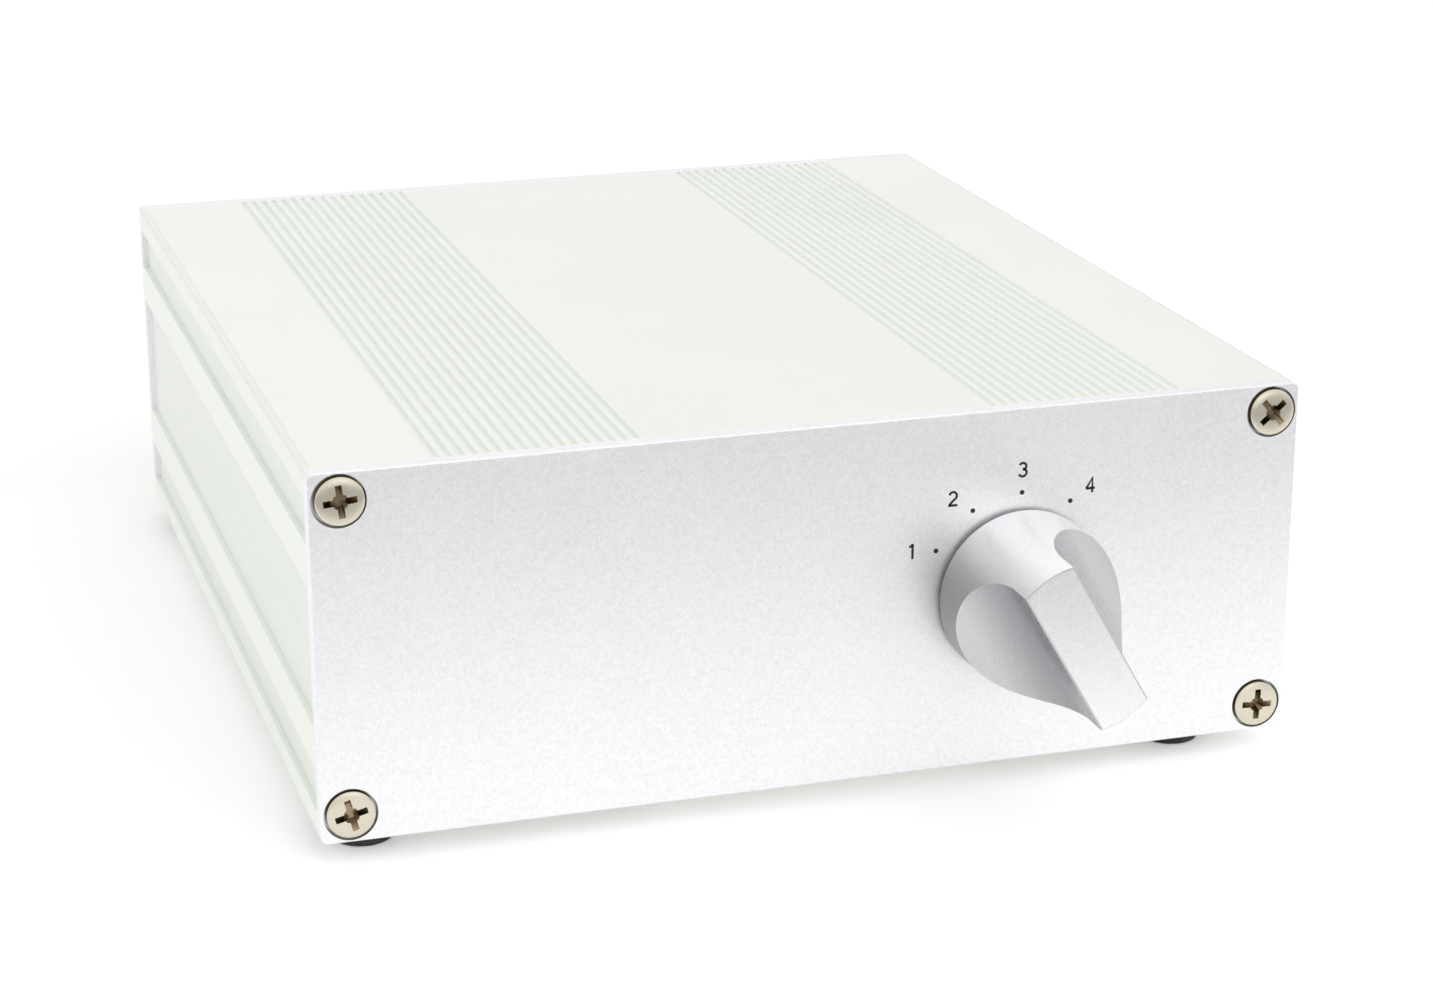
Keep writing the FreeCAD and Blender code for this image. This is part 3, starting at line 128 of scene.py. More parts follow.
class CaseSettings(bpy.types.PropertyGroup):
    """Edges of the case."""

    recess_depth: millimetres("Side recess", "Depth of the sunk bands of the sides", 0.8)
    groove_depth: millimetres("Groove depth", "Depth of the fine grooves of the top and bottom", 0.4)
    shell_edge: millimetres("Shell edge", "Rounding of the extrusion's edges", 0.08)
    plate_edge: millimetres("Plate edge", "Rounding of the end plates' edges", 0.04)


class KnobSettings(bpy.types.PropertyGroup):
    """Sizes of the knob and its grip bar."""

    bar_width: millimetres("Bar width", "Across the flat front of the grip bar", 6.6)
    wall_depth: millimetres("Wall depth", "Straight part of each scoop, behind the front", 3.2)
    scoop_radius: millimetres("Scoop radius", "Radius of the hollow at the foot of each scoop", 14.0)
    edge: millimetres("Edge", "Width of the knob's broken edges", 0.2)
    recess_radius: millimetres("Recess radius", "Hollow behind the knob that clears the nut", 7.6)
    recess_depth: millimetres("Recess depth", "Depth of the hollow behind the knob", 3.9)
    grub_radius: millimetres("Grub hole radius", "Hole of the set screw", 1.5)
    grub_height: millimetres("Grub hole height", "Place of the set screw from the knob's back", 8.0)
    rest_turn: degrees("Rest turn", "Where the bar points at rest, clockwise from the top", -30.0)


class ScrewSettings(bpy.types.PropertyGroup):
    """The screws of the two end plates."""

    head_radius: millimetres("Head radius", "Outer radius of a screw head", 2.9)
    head_height: millimetres("Head height", "From the head's seat to its crown", 1.6)
    rim_height: millimetres("Rim height", "Straight rim of the head below its crown", 1.25)
    shank_radius: millimetres("Shank radius", "Outer radius of the shank", 1.15)
    shank_length: millimetres("Shank length", "Length below the head", 9.0)
    inset_side: millimetres("Side inset", "Screw centre from the side of the case", 3.6)
    inset_edge: millimetres("Edge inset", "Screw centre from the top or bottom", 3.45)
    proud: millimetres("Proud", "Crown in front of the face of the plate", 0.3)
    cross_length: millimetres("Cross length", "From tip to tip of the driver recess", 4.2)
    cross_width: millimetres("Cross width", "Width of each arm of the recess", 0.78)
    cross_centre: millimetres("Cross centre", "Radius of the cone in the middle of the driver recess", 1.1)
    cross_depth: millimetres("Cross depth", "Depth of the driver recess", 1.5)


class PrintSettings(bpy.types.PropertyGroup):
    """Dots and numbers printed round the knob."""

    dot_circle: millimetres("Dot circle", "Radius of the circle that the dots are on", 12.55)
    dot_radius: millimetres("Dot radius", "Radius of a printed dot", 0.3)
    number_circle: millimetres("Number circle", "Radius of the circle that the numbers are on", 15.4)
    number_fan: degrees("Number fan", "Each number further from the top than its dot", 5.0)
    number_height: millimetres("Number height", "Height of a printed number", 1.9)
    number_stroke: millimetres("Number stroke", "Width of a number's stroke", 0.3)
    thickness: millimetres("Thickness", "Thickness of the ink", 0.015)
    first_turn: degrees("First turn", "Direction of the first channel", -60.0)
    step_turn: degrees("Step", "Angle from one channel to the next", 30.0)
    ways: bpy.props.IntProperty(name="Ways", description="Number of channels", default=4, min=2, max=4)
    ink: tint("Ink", "Colour of the print", (0.006, 0.006, 0.007))


class FootSettings(bpy.types.PropertyGroup):
    """The stick-on feet."""

    top_radius: millimetres("Top radius", "Where the foot meets the case", 4.0)
    floor_radius: millimetres("Floor radius", "Where the foot meets the shelf", 3.7)
    height: millimetres("Height", "Height of a foot", 3.0)
    rounding: millimetres("Rounding", "Rounding of the lower edge", 0.5)
    inset_left: millimetres("Left inset", "Foot centre from the left side", 6.4)
    inset_right: millimetres("Right inset", "Foot centre from the right side", 11.5)
    inset_end: millimetres("End inset", "Foot centre from the face of a plate", 8.3)


class SocketSettings(bpy.types.PropertyGroup):
    """The phono sockets at the back."""

    radius: millimetres("Shell radius", "Outer radius of a socket's shell", 4.15)
    wall: millimetres("Shell wall", "Wall of a socket's shell", 0.65)
    stand_out: millimetres("Stand out", "Length of a shell outside the plate", 9.0)
    recess: millimetres("Insert recess", "Insert below the shell's end", 0.7)
    bore_radius: millimetres("Bore radius", "Bore that takes the plug's pin", 1.65)
    pitch: millimetres("Pitch", "From one column of sockets to the next", 20.0)
    row_pitch: millimetres("Row pitch", "From the upper row to the lower", 17.0)
    columns: bpy.props.IntProperty(name="Columns", description="Sockets in a row", default=5, min=1)


class StageSettings(bpy.types.PropertyGroup):
    """Camera, lamps and floor."""

    lens: bpy.props.FloatProperty(
        name="Lens", description="Focal length", default=82.2, min=1.0, unit="CAMERA"
    )
    camera_place: bpy.props.FloatVectorProperty(
        name="Camera place",
        description="Where the camera stands",
        default=(-0.119814, -0.405692, 0.160035),
        subtype="TRANSLATION",
        unit="LENGTH",
        precision=5,
    )
    look_down: degrees("Look down", "Camera tilt below the horizon", 18.409)
    look_right: degrees("Look right", "Camera turn to the right", 17.258)
    roll: degrees("Roll", "Camera roll", 0.068)
    floor_colour: tint("Floor", "Colour of the floor and backdrop", (0.93, 0.93, 0.93))
    floor_lift: share("Floor lift", "Added to the floor where it is seen", 0.22)
    world_light: share("World light", "Strength of the even light all round", 0.71, high=4.0)
    shade_colour: tint("Shade", "Soft grey pool of the floor in front", (0.36, 0.36, 0.37))


SETTINGS = {
    "metal": MetalSettings,
    "case": CaseSettings,
    "knob": KnobSettings,
    "screw": ScrewSettings,
    "print": PrintSettings,
    "foot": FootSettings,
    "socket": SocketSettings,
    "stage": StageSettings,
}


def settings(name):
    return getattr(bpy.context.scene, "selector_" + name)


# Shader nodes

class Tree:
    """Short words for building a node tree from left to right."""

    def __init__(self, tree):
        self.tree = tree
        self.column = 0

    def node(self, kind, inputs=None, **values):
        made = self.tree.nodes.new(kind)
        made.location = (self.column * 200, 0)
        self.column += 1
        for name, value in values.items():
            setattr(made, name, value)
        for name, value in (inputs or {}).items():
            self.feed(made, name, value)
        return made

    def feed(self, made, name, value):
        socket = made.inputs[name]
        if isinstance(value, bpy.types.NodeSocket):
            self.tree.links.new(value, socket)
        else:
            socket.default_value = value

    def math(self, operation, first, second=0.0, clamp=False):
        made = self.node("ShaderNodeMath", operation=operation, use_clamp=clamp)
        self.feed(made, 0, first)
        self.feed(made, 1, second)
        return made.outputs[0]

    def plus(self, first, second, clamp=False):
        return self.math("ADD", first, second, clamp)

    def minus(self, first, second):
        return self.math("SUBTRACT", first, second)

    def times(self, first, second, clamp=False):
        return self.math("MULTIPLY", first, second, clamp)

    def over(self, first, second):
        return self.math("DIVIDE", first, second)

    def distance(self, first, second):
        return self.math("ABSOLUTE", self.minus(first, second))

    def swing(self, value, amount):
        """How far a 0..1 value lies from its middle, times an amount."""
        return self.times(self.minus(value, 0.5), amount)

    def blend(self, amount, first, second, kind="MIX"):
        made = self.node("ShaderNodeMix", data_type="RGBA", blend_type=kind)
        self.feed(made, 0, amount)
        self.feed(made, 6, first)
        self.feed(made, 7, second)
        return made.outputs[2]

    def lit(self, colour, level):
        """A colour made darker or lighter by a level about 1."""
        grey = self.node("ShaderNodeCombineColor", {"Red": level, "Green": level, "Blue": level})
        return self.blend(1.0, colour, grey.outputs[0], "MULTIPLY")

    def spread(self, value, low, high):
        """Take a value from 0..1 to low..high."""
        inputs = {"Value": value, "To Min": low, "To Max": high}
        return self.node("ShaderNodeMapRange", inputs).outputs["Result"]

    def ramp(self, value, none, full, kind="SMOOTHSTEP"):
        """Rise from 0 to 1 while a value goes from none to full."""
        inputs = {"Value": value, "From Min": none, "From Max": full}
        return self.node("ShaderNodeMapRange", inputs, interpolation_type=kind).outputs["Result"]

    def noise(self, vector, scale, detail=2.0, roughness=0.5):
        inputs = {"Vector": vector, "Scale": scale, "Detail": detail, "Roughness": roughness}
        return self.node("ShaderNodeTexNoise", inputs).outputs["Fac"]

    def place(self):
        """The place on the object, in metres."""
        return self.node("ShaderNodeTexCoord").outputs["Object"]

    def parts(self, vector):
        return self.node("ShaderNodeSeparateXYZ", {"Vector": vector}).outputs


def blasted(tree, given, place):
    """Fine blasted and anodised metal: a speckled colour, a soft cloudiness and a bumpy height."""
    coarse_rate = 0.31
    coarse_share = 0.3
    clouds_in_metre = 38.0
    rate = tree.over(1.0, given["Grain size"])
    fine = tree.noise(place, rate, detail=3.0, roughness=0.65)
    coarse = tree.noise(place, tree.times(rate, coarse_rate))
    mixed = tree.plus(tree.times(fine, 1.0 - coarse_share), tree.times(coarse, coarse_share))
    cloud = tree.noise(place, clouds_in_metre, detail=3.0)
    # Noise keeps near its middle, so its swing is widened before it changes the colour
    speckle = tree.swing(mixed, tree.times(given["Speckle"], 4.0))
    haze = tree.swing(cloud, tree.times(given["Cloud"], 2.0))
    level = tree.plus(1.0, tree.plus(speckle, haze))
    rough = tree.plus(given["Roughness"], tree.swing(mixed, 0.25))
    rough = tree.plus(rough, tree.swing(cloud, 0.08), clamp=True)
    return tree.lit(given["Colour"], level), rough, mixed


def turned(tree, given, place):
    """Fine lines round an axis along Y, as left by a lathe or a brush, with a light haze."""
    hazes_in_metre = 90.0
    parts = tree.parts(place)
    across = tree.minus(parts["X"], given["Centre X"])
    upward = tree.minus(parts["Z"], given["Centre Z"])
    radius = tree.math("SQRT", tree.plus(tree.times(across, across), tree.times(upward, upward)))
    along = tree.node("ShaderNodeCombineXYZ", {"X": radius, "Y": parts["Y"]})
    lines = tree.noise(along.outputs[0], tree.over(1.0, given["Line size"]), roughness=0.6)
    haze = tree.noise(place, hazes_in_metre)
    level = tree.plus(1.0, tree.swing(lines, given["Contrast"]))
    rough = tree.plus(given["Roughness"], tree.swing(lines, 0.12))
    rough = tree.plus(rough, tree.swing(haze, 0.1), clamp=True)
    return tree.lit(given["Colour"], level), rough, lines


def moulded(tree, given, place):
    """Moulded plastic or rubber: a fine spark-eroded skin with a little dust and gloss change."""
    dust_colour = (0.7, 0.68, 0.64, 1.0)
    patches_in_metre = 160.0
    skin = tree.noise(place, tree.over(1.0, given["Skin size"]), detail=3.0, roughness=0.6)
    patches = tree.noise(place, patches_in_metre, detail=4.0, roughness=0.6)
    # Below 0 a place stays clean, so the dust gathers in patches
    dust = tree.times(tree.spread(patches, -0.6, 1.4), given["Dust"], clamp=True)
    rough = tree.plus(given["Roughness"], tree.swing(skin, 0.2))
    rough = tree.plus(rough, tree.times(dust, 0.5), clamp=True)
    return tree.blend(dust, given["Colour"], dust_colour), rough, skin


def laminate(tree, given, place):
    """Glass or paper laminate under lacquer: a woven ground with copper tracks that show faintly."""
    track_colour = (0.62, 0.66, 0.30, 1.0)
    track_start = 0.55
    weave_rate = tree.over(0.4, given["Weave size"])
    wave = {"Vector": place, "Scale": weave_rate}
    warp = tree.node("ShaderNodeTexWave", wave, bands_direction="X").outputs["Fac"]
    weft = tree.node("ShaderNodeTexWave", wave, bands_direction="Y").outputs["Fac"]
    weave = tree.times(warp, weft)
    track_rate = tree.over(1.0, given["Track size"])
    cells = tree.node("ShaderNodeTexVoronoi", {"Vector": place, "Scale": track_rate}, distance="MANHATTAN")
    tracks = tree.math("GREATER_THAN", cells.outputs["Distance"], track_start)
    light = tree.blend(tree.times(weave, 0.12), given["Colour"], WHITE)
    colour = tree.blend(tree.times(tracks, 0.18), light, track_colour)
    rough = tree.plus(given["Roughness"], tree.times(weave, 0.1), clamp=True)
    return colour, rough, tree.plus(tree.times(weave, 0.3), tracks)


# Each effect's group name, its maker, and its inputs besides the colour with their defaults
EFFECTS = {
    "blasted": (
        "Blasted metal", blasted,
        {"Grain size": 0.00016, "Speckle": 0.08, "Cloud": 0.03, "Roughness": 0.45},
    ),
    "turned": (
        "Turned metal", turned,
        {"Line size": 0.00012, "Contrast": 0.08, "Roughness": 0.35, "Centre X": 0.0, "Centre Z": 0.0},
    ),
    "moulded": ("Moulded skin", moulded, {"Skin size": 0.0003, "Dust": 0.04, "Roughness": 0.5}),
    "laminate": (
        "Board laminate", laminate,
        {"Weave size": 0.0006, "Track size": 0.0025, "Roughness": 0.35},
    ),
}
GROUPS = {}


def shared_group(effect):
    """The node group of an effect, built when the first material asks for it."""
    if effect not in GROUPS:
        title, maker, numbers = EFFECTS[effect]
        made = bpy.data.node_groups.new(title, "ShaderNodeTree")
        sockets = made.interface
        colour = sockets.new_socket(name="Colour", in_out="INPUT", socket_type="NodeSocketColor")
        colour.default_value = WHITE
        for name, value in numbers.items():
            number = sockets.new_socket(name=name, in_out="INPUT", socket_type="NodeSocketFloat")
            number.default_value = value
        for name, kind in (("Colour", "Color"), ("Roughness", "Float"), ("Height", "Float")):
            sockets.new_socket(name=name, in_out="OUTPUT", socket_type="NodeSocket" + kind)
        tree = Tree(made)
        given = tree.node("NodeGroupInput").outputs
        colour, rough, height = maker(tree, given, tree.place())
        tree.node("NodeGroupOutput", {"Colour": colour, "Roughness": rough, "Height": height})
        GROUPS[effect] = made
    return GROUPS[effect]


def finish(name, effect, colour, metallic=0.0, bump=0.02, depth=0.02, shader=None, **values):
    """A material: one shared effect feeds colour, roughness and bump of a Principled BSDF.

    The depth of its bump is in millimetres.
    """
    material = bpy.data.materials.new(name)
    material.use_nodes = True
    tree = Tree(material.node_tree)
    principled = material.node_tree.nodes["Principled BSDF"]
    source = tree.node("ShaderNodeGroup", node_tree=shared_group(effect))
    tree.feed(source, "Colour", (*colour, 1.0))
    for socket, value in values.items():
        tree.feed(source, socket.replace("_", " "), value)
    relief = tree.node("ShaderNodeBump", {"Strength": bump, "Distance": depth * MM})
    tree.feed(relief, "Height", source.outputs["Height"])
    inputs = {
        "Base Color": source.outputs["Colour"],
        "Roughness": source.outputs["Roughness"],
        "Normal": relief.outputs["Normal"],
        "Metallic": metallic,
        **(shader or {}),
    }
    for socket, value in inputs.items():
        tree.feed(principled, socket, value)
    return material


def blend_in(material, colour, amount_at):
    """Blend a second colour into a finish by an amount drawn from the place on the object."""
    tree = Tree(material.node_tree)
    source = next(node for node in material.node_tree.nodes if node.type == "GROUP")
    first = tuple(source.inputs["Colour"].default_value)
    tree.feed(source, "Colour", tree.blend(amount_at(tree, tree.place()), first, (*colour, 1.0)))


def painted_shade_on_sunk_bands(tree, place):
    """Painted shade: 1 on the sunk bands of the case's sides and on the floors of its grooves, 0 elsewhere.
    """
    case = settings("case")
    plain_edge = 10.0 * MM
    parts = tree.parts(place)
    across = tree.math("ABSOLUTE", parts["X"])
    off_band = tree.distance(across, PANEL_HIGH.x - case.recess_depth)
    band = tree.math("LESS_THAN", off_band, 0.2 * MM)
    up = tree.distance(parts["Z"], MIDDLE_Z)
    off_floor = tree.distance(up, PANEL_HIGH.z - MIDDLE_Z - case.groove_depth)
    groove = tree.math("LESS_THAN", off_floor, 0.1 * MM)
    inside = tree.math("LESS_THAN", across, PANEL_HIGH.x - plain_edge)
    return tree.math("MAXIMUM", band, tree.times(groove, inside))


def painted_shade_near_grip_bar(tree, place):
    """Painted shade: rises to 1 where the left scoop meets the grip bar."""
    knob = settings("knob")
    band_width = 5.0 * MM
    inputs = {"Vector": place, "Center": AXIS, "Angle": -knob.rest_turn}
    turned_back = tree.node("ShaderNodeVectorRotate", inputs, rotation_type="Y_AXIS")
    across = tree.minus(tree.parts(turned_back.outputs["Vector"])["X"], AXIS.x)
    bar_side = -knob.bar_width / 2
    rise = tree.ramp(across, bar_side - band_width, bar_side, "LINEAR")
    return tree.times(rise, tree.math("LESS_THAN", across, 0.0))


def painted_shade_on_left_wall(tree, place):
    """Painted shade: rises to 1 round the left of the knob's turned wall, and is 0 on its flat front."""
    low_share = 0.35
    parts = tree.parts(place)
    left = tree.over(tree.minus(AXIS.x, parts["X"]), KNOB_RADIUS)
    down = tree.over(tree.minus(AXIS.z, parts["Z"]), KNOB_RADIUS)
    toward = tree.plus(left, tree.times(down, low_share))
    behind_front = tree.math("GREATER_THAN", parts["Y"], KNOB_LOW.y + 0.05 * MM)
    return tree.times(tree.ramp(toward, 0.0, 1.0), behind_front)


def metal_finishes():
    metal = settings("metal")
    grain = metal.grain
    return {
        "case": finish(
            "Blasted case", "blasted", metal.case_colour, metallic=0.85, bump=0.35, depth=0.03,
            Grain_size=grain, Speckle=0.03, Cloud=0.015, Roughness=metal.case_roughness,
        ),
        "panel": finish(
            "Blasted plate", "blasted", metal.panel_colour, metallic=0.9, bump=0.8, depth=0.03,
            Grain_size=grain * 0.9, Speckle=0.15, Cloud=0.03, Roughness=metal.panel_roughness,
        ),
        "knob": finish(
            "Satin knob", "blasted", metal.knob_colour, metallic=0.95, bump=0.45,
            Grain_size=grain * 1.2, Speckle=0.12, Cloud=0.02, Roughness=metal.knob_roughness,
        ),
        "chamfer": finish(
            "Chamfered edge", "blasted", metal.chamfer_colour, metallic=1.0, depth=0.01,
            Grain_size=grain, Speckle=0.01, Cloud=0.0, Roughness=metal.chamfer_roughness,
        ),
        # Painted shade of the screws' cross recess and painted shadow on their rims
        "recess": finish(
            "Screw recess", "blasted", metal.screw_recess_shade_colour, metallic=1.0, bump=0.15, depth=0.01,
            Grain_size=grain, Speckle=0.1, Cloud=0.2, Roughness=metal.recess_roughness,
        ),
        # Milled scoops: their own finish together with painted shade in their hollows
        "milled": finish(
            "Milled knob", "blasted", metal.milled_and_shade_colour, metallic=1.0, depth=0.01,
            Grain_size=grain * 2.0, Speckle=0.008, Cloud=0.0, Roughness=metal.milled_roughness,
        ),
        "nickel": finish(
            "Nickel", "blasted", metal.nickel_colour, metallic=1.0, bump=0.1, depth=0.01,
            Grain_size=0.4 * MM, Speckle=0.02, Cloud=0.02, Roughness=0.32,
        ),
        "gold": finish(
            "Gold plating", "turned", metal.gold_colour, metallic=1.0, bump=0.1, depth=0.01,
            Line_size=0.1 * MM, Contrast=0.06, Roughness=0.2,
        ),
    }


def inner_finishes():
    """Finishes of the inner parts, feet and inserts; the inner ones show in cut and opened views."""
    drawn = {"metallic": 1.0, "Line_size": 0.12 * MM, "Contrast": 0.12}
    round_axis = {"Centre_X": AXIS.x, "Centre_Z": AXIS.z}
    waxy = {"Subsurface Weight": 0.15, "Subsurface Scale": 0.001}
    return {
        "zinc": finish(
            "Cast zinc", "blasted", (0.62, 0.62, 0.60), metallic=0.9, bump=0.4,
            Grain_size=0.4 * MM, Roughness=0.5,
        ),
        "steel": finish(
            "Turned steel", "turned", (0.62, 0.62, 0.63), bump=0.2, Roughness=0.3, **drawn, **round_axis,
        ),
        "spring": finish("Spring steel", "turned", (0.40, 0.40, 0.42), bump=0.15, Roughness=0.35, **drawn),
        "brass": finish("Contact metal", "turned", (0.76, 0.60, 0.32), bump=0.15, Roughness=0.28, **drawn),
        "acetal": finish(
            "Acetal", "moulded", (0.82, 0.80, 0.73), bump=0.15,
            shader=waxy, Skin_size=0.4 * MM, Dust=0.02, Roughness=0.45,
        ),
        "black": finish(
            "Black moulding", "moulded", (0.025, 0.025, 0.027), bump=0.2, Dust=0.03, Roughness=0.5,
        ),
        "rubber": finish(
            "Foot rubber", "moulded", (0.012, 0.012, 0.012), bump=0.3, Dust=0.05, Roughness=0.7,
        ),
        "white": finish("White insert", "moulded", (0.86, 0.86, 0.83), bump=0.05, Dust=0.02, Roughness=0.3),
        "red": finish("Red insert", "moulded", (0.55, 0.02, 0.02), bump=0.05, Dust=0.02, Roughness=0.3),
        "wafer": finish(
            "Paper laminate", "laminate", (0.40, 0.22, 0.09), bump=0.2, Track_size=20.0 * MM, Roughness=0.5,
        ),
        "board": finish("Lacquered board", "laminate", (0.02, 0.16, 0.06), bump=0.3, Roughness=0.25),
        "vinyl": finish("Ribbon vinyl", "moulded", (0.42, 0.42, 0.44), bump=0.1, Dust=0.02, Roughness=0.4),
    }


FINISHED_NODES = {
    "case": ("upper_shell", "lower_shell"),
    "panel": ("front_panel", "rear_panel"),
    "knob": ("knob",),
    "nickel": ("front_panel_screws", "rear_panel_screws", "switch_nut"),
    "gold": ("socket_shells",),
    "zinc": ("switch_frame",),
    "steel": ("knob_grub_screw", "switch_shaft", "detent_roller"),
    "spring": ("switch_washer", "shaft_retaining_ring", "stop_plate", "detent_leaf_spring"),
    "brass": (
        "rotor_wipers", "way_contacts", "common_contacts", "upper_socket_contacts", "lower_socket_contacts",
    ),
    "acetal": ("detent_wheel", "switch_rotor"),
    "black": ("detent_housing", "switch_header", "socket_board_header", "ribbon_plugs", "socket_blocks"),
    "rubber": ("rubber_feet",),
    "white": ("left_socket_inserts",),
    "red": ("right_socket_inserts",),
    "wafer": ("switch_wafer",),
    "board": ("switch_board", "socket_board"),
    "vinyl": ("ribbon_cable",),
}
FINISHES = {}


# Mesh helpers

def new_piece(name, mesh, body, slot, *replaced):
    """Link a finished mesh as a piece of the object."""
    piece = bpy.data.objects.new(name, mesh)
    bpy.context.scene.collection.objects.link(piece)
    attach(piece, body)
    if replaced:
        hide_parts(*replaced)


def new_mesh(name, work):
    """The mesh of a bmesh, which is freed."""
    mesh = bpy.data.meshes.new(name)
    work.to_mesh(mesh)
    work.free()
    return mesh


def mark_edges(work, angle):
    """Smooth shading that stops at the edges sharper than an angle in degrees."""
    limit = math.radians(angle)
    for face in work.faces:
        face.smooth = True
    for edge in work.edges:
        edge.smooth = len(edge.link_faces) == 2 and edge.calc_face_angle(math.pi) < limit


def mesh_of(name, work, angle=30.0):
    """Turn a bmesh into a mesh with outward normals, smooth but for its sharp edges."""
    bmesh.ops.remove_doubles(work, verts=work.verts, dist=1e-7)
    bmesh.ops.recalc_face_normals(work, faces=work.faces)
    mark_edges(work, angle)
    return new_mesh(name, work)


def sharpen(mesh, angle):
    """Smooth shading but for its sharp edges, on a mesh that is already made."""
    work = bmesh.new()
    work.from_mesh(mesh)
    mark_edges(work, angle)
    work.to_mesh(mesh)
    work.free()
    return mesh


def join_loops(work, first, second):
    """A band of faces between two closed loops of as many vertices."""
    count = len(first)
    for index in range(count):
        after = (index + 1) % count
        work.faces.new((first[index], first[after], second[after], second[index]))


def lathe(profile, steps):
    """A bmesh turned about Z from (radius, height) points; a radius of 0 closes an end."""
    work = bmesh.new()
    turns = [FULL * step / steps for step in range(steps)]
    rings = []
    for radius, height in profile:
        spots = [(radius * math.cos(turn), radius * math.sin(turn), height) for turn in turns]
        if radius <= 0.0:
            spots = [(0.0, 0.0, height)]
        rings.append([work.verts.new(spot) for spot in spots])
    closed = rings + [rings[0]] if profile[0][0] > 0.0 else rings
    for lower, upper in zip(closed, closed[1:]):
        for step in range(steps):
            after = (step + 1) % steps
            corners = [lower[step % len(lower)], lower[after % len(lower)]]
            corners += [upper[after % len(upper)], upper[step % len(upper)]]
            unique = list(dict.fromkeys(corners))
            if len(unique) > 2:
                work.faces.new(unique)
    return work


def rounded(corners, radius):
    """A lathe profile with each inner corner rounded by a short arc."""
    steps = 4
    most = 0.45
    result = [corners[0]]
    for before, corner, after in zip(corners, corners[1:], corners[2:]):
        here = Vector(corner)
        back = Vector(before) - here
        ahead = Vector(after) - here
        reach = min(radius, back.length * most, ahead.length * most)
        start = here + back.normalized() * reach
        stop = here + ahead.normalized() * reach
        for step in range(steps + 1):
            t = step / steps
            point = start * (1 - t) ** 2 + here * 2 * t * (1 - t) + stop * t ** 2
            result.append((point.x, point.y))
    result.append(corners[-1])
    return result


def helper_object(name, mesh):
    """A temporary object that carries modifiers, or that a modifier or a node tree reads."""
    made = bpy.data.objects.new(name, mesh)
    bpy.context.scene.collection.objects.link(made)
    return made


def drop(*objects):
    for made in objects:
        bpy.data.objects.remove(made)


def baked(holder):
    """The mesh of a temporary object with its modifiers applied; the object is dropped."""
    evaluated = holder.evaluated_get(bpy.context.evaluated_depsgraph_get())
    mesh = bpy.data.meshes.new_from_object(evaluated)
    drop(holder)
    return mesh


def applied(name, mesh, kind, *modifiers):
    """The mesh with modifiers of one kind applied, each given by its settings."""
    holder = helper_object(name, mesh)
    for values in modifiers:
        modifier = holder.modifiers.new(kind, kind)
        for setting, value in values.items():
            setattr(modifier, setting, value)
    return baked(holder)


def welded(source, distance):
    """A copy of a mesh with its near vertices joined and its flat faces whole."""
    work = bmesh.new()
    work.from_mesh(source)
    bmesh.ops.remove_doubles(work, verts=work.verts, dist=distance)
    bmesh.ops.dissolve_degenerate(work, edges=work.edges, dist=distance)
    bmesh.ops.dissolve_limit(
        work, angle_limit=math.radians(1), use_dissolve_boundaries=False, verts=work.verts, edges=work.edges
    )
    mesh = new_mesh(source.name + "_welded", work)
    for material in source.materials:
        mesh.materials.append(material)
    return mesh


def weigh_outline(mesh, height):
    """Ask the bevel for the outline of the flat face at one height."""
    near = 0.001 * MM
    sharp = 0.5
    work = bmesh.new()
    work.from_mesh(mesh)
    weight = work.edges.layers.float.new("bevel_weight_edge")
    for edge in work.edges:
        level = all(abs(vertex.co.z - height) < near for vertex in edge.verts)
        edge[weight] = 1.0 if level and edge.calc_face_angle(0.0) > sharp else 0.0
    work.to_mesh(mesh)
    work.free()


# Repeated parts, by geometry nodes

def repeat_tree(name, source, material, kept):
    """Nodes that put one source part on every point, turned by the point's own turn."""
    tree = bpy.data.node_groups.new(name, "GeometryNodeTree")
    tree.interface.new_socket(name="Geometry", in_out="INPUT", socket_type="NodeSocketGeometry")
    size = tree.interface.new_socket(name="Size", in_out="INPUT", socket_type="NodeSocketFloat")
    size.default_value = 1.0
    tree.interface.new_socket(name="Geometry", in_out="OUTPUT", socket_type="NodeSocketGeometry")
    work = Tree(tree)
    start = work.node("NodeGroupInput")
    part = work.node("GeometryNodeObjectInfo", {"Object": source})
    turn = work.node("GeometryNodeInputNamedAttribute", {"Name": "turn"}, data_type="FLOAT_VECTOR")
    rotation = work.node("FunctionNodeEulerToRotation", {"Euler": turn.outputs["Attribute"]})
    placing = {
        "Points": start.outputs["Geometry"],
        "Instance": part.outputs["Geometry"],
        "Rotation": rotation.outputs[0],
        "Scale": start.outputs["Size"],
    }
    placed = work.node("GeometryNodeInstanceOnPoints", placing)
    real = work.node("GeometryNodeRealizeInstances", {"Geometry": placed.outputs["Instances"]})
    painting = {"Geometry": real.outputs["Geometry"], "Material": material}
    if kept:
        faces = work.node("GeometryNodeMaterialSelection", {"Material": kept})
        others = work.node("FunctionNodeBooleanMath", {0: faces.outputs["Selection"]}, operation="NOT")
        painting["Selection"] = others.outputs[0]
    painted = work.node("GeometryNodeSetMaterial", painting)
    work.node("NodeGroupOutput", {"Geometry": painted.outputs["Geometry"]})
    return tree


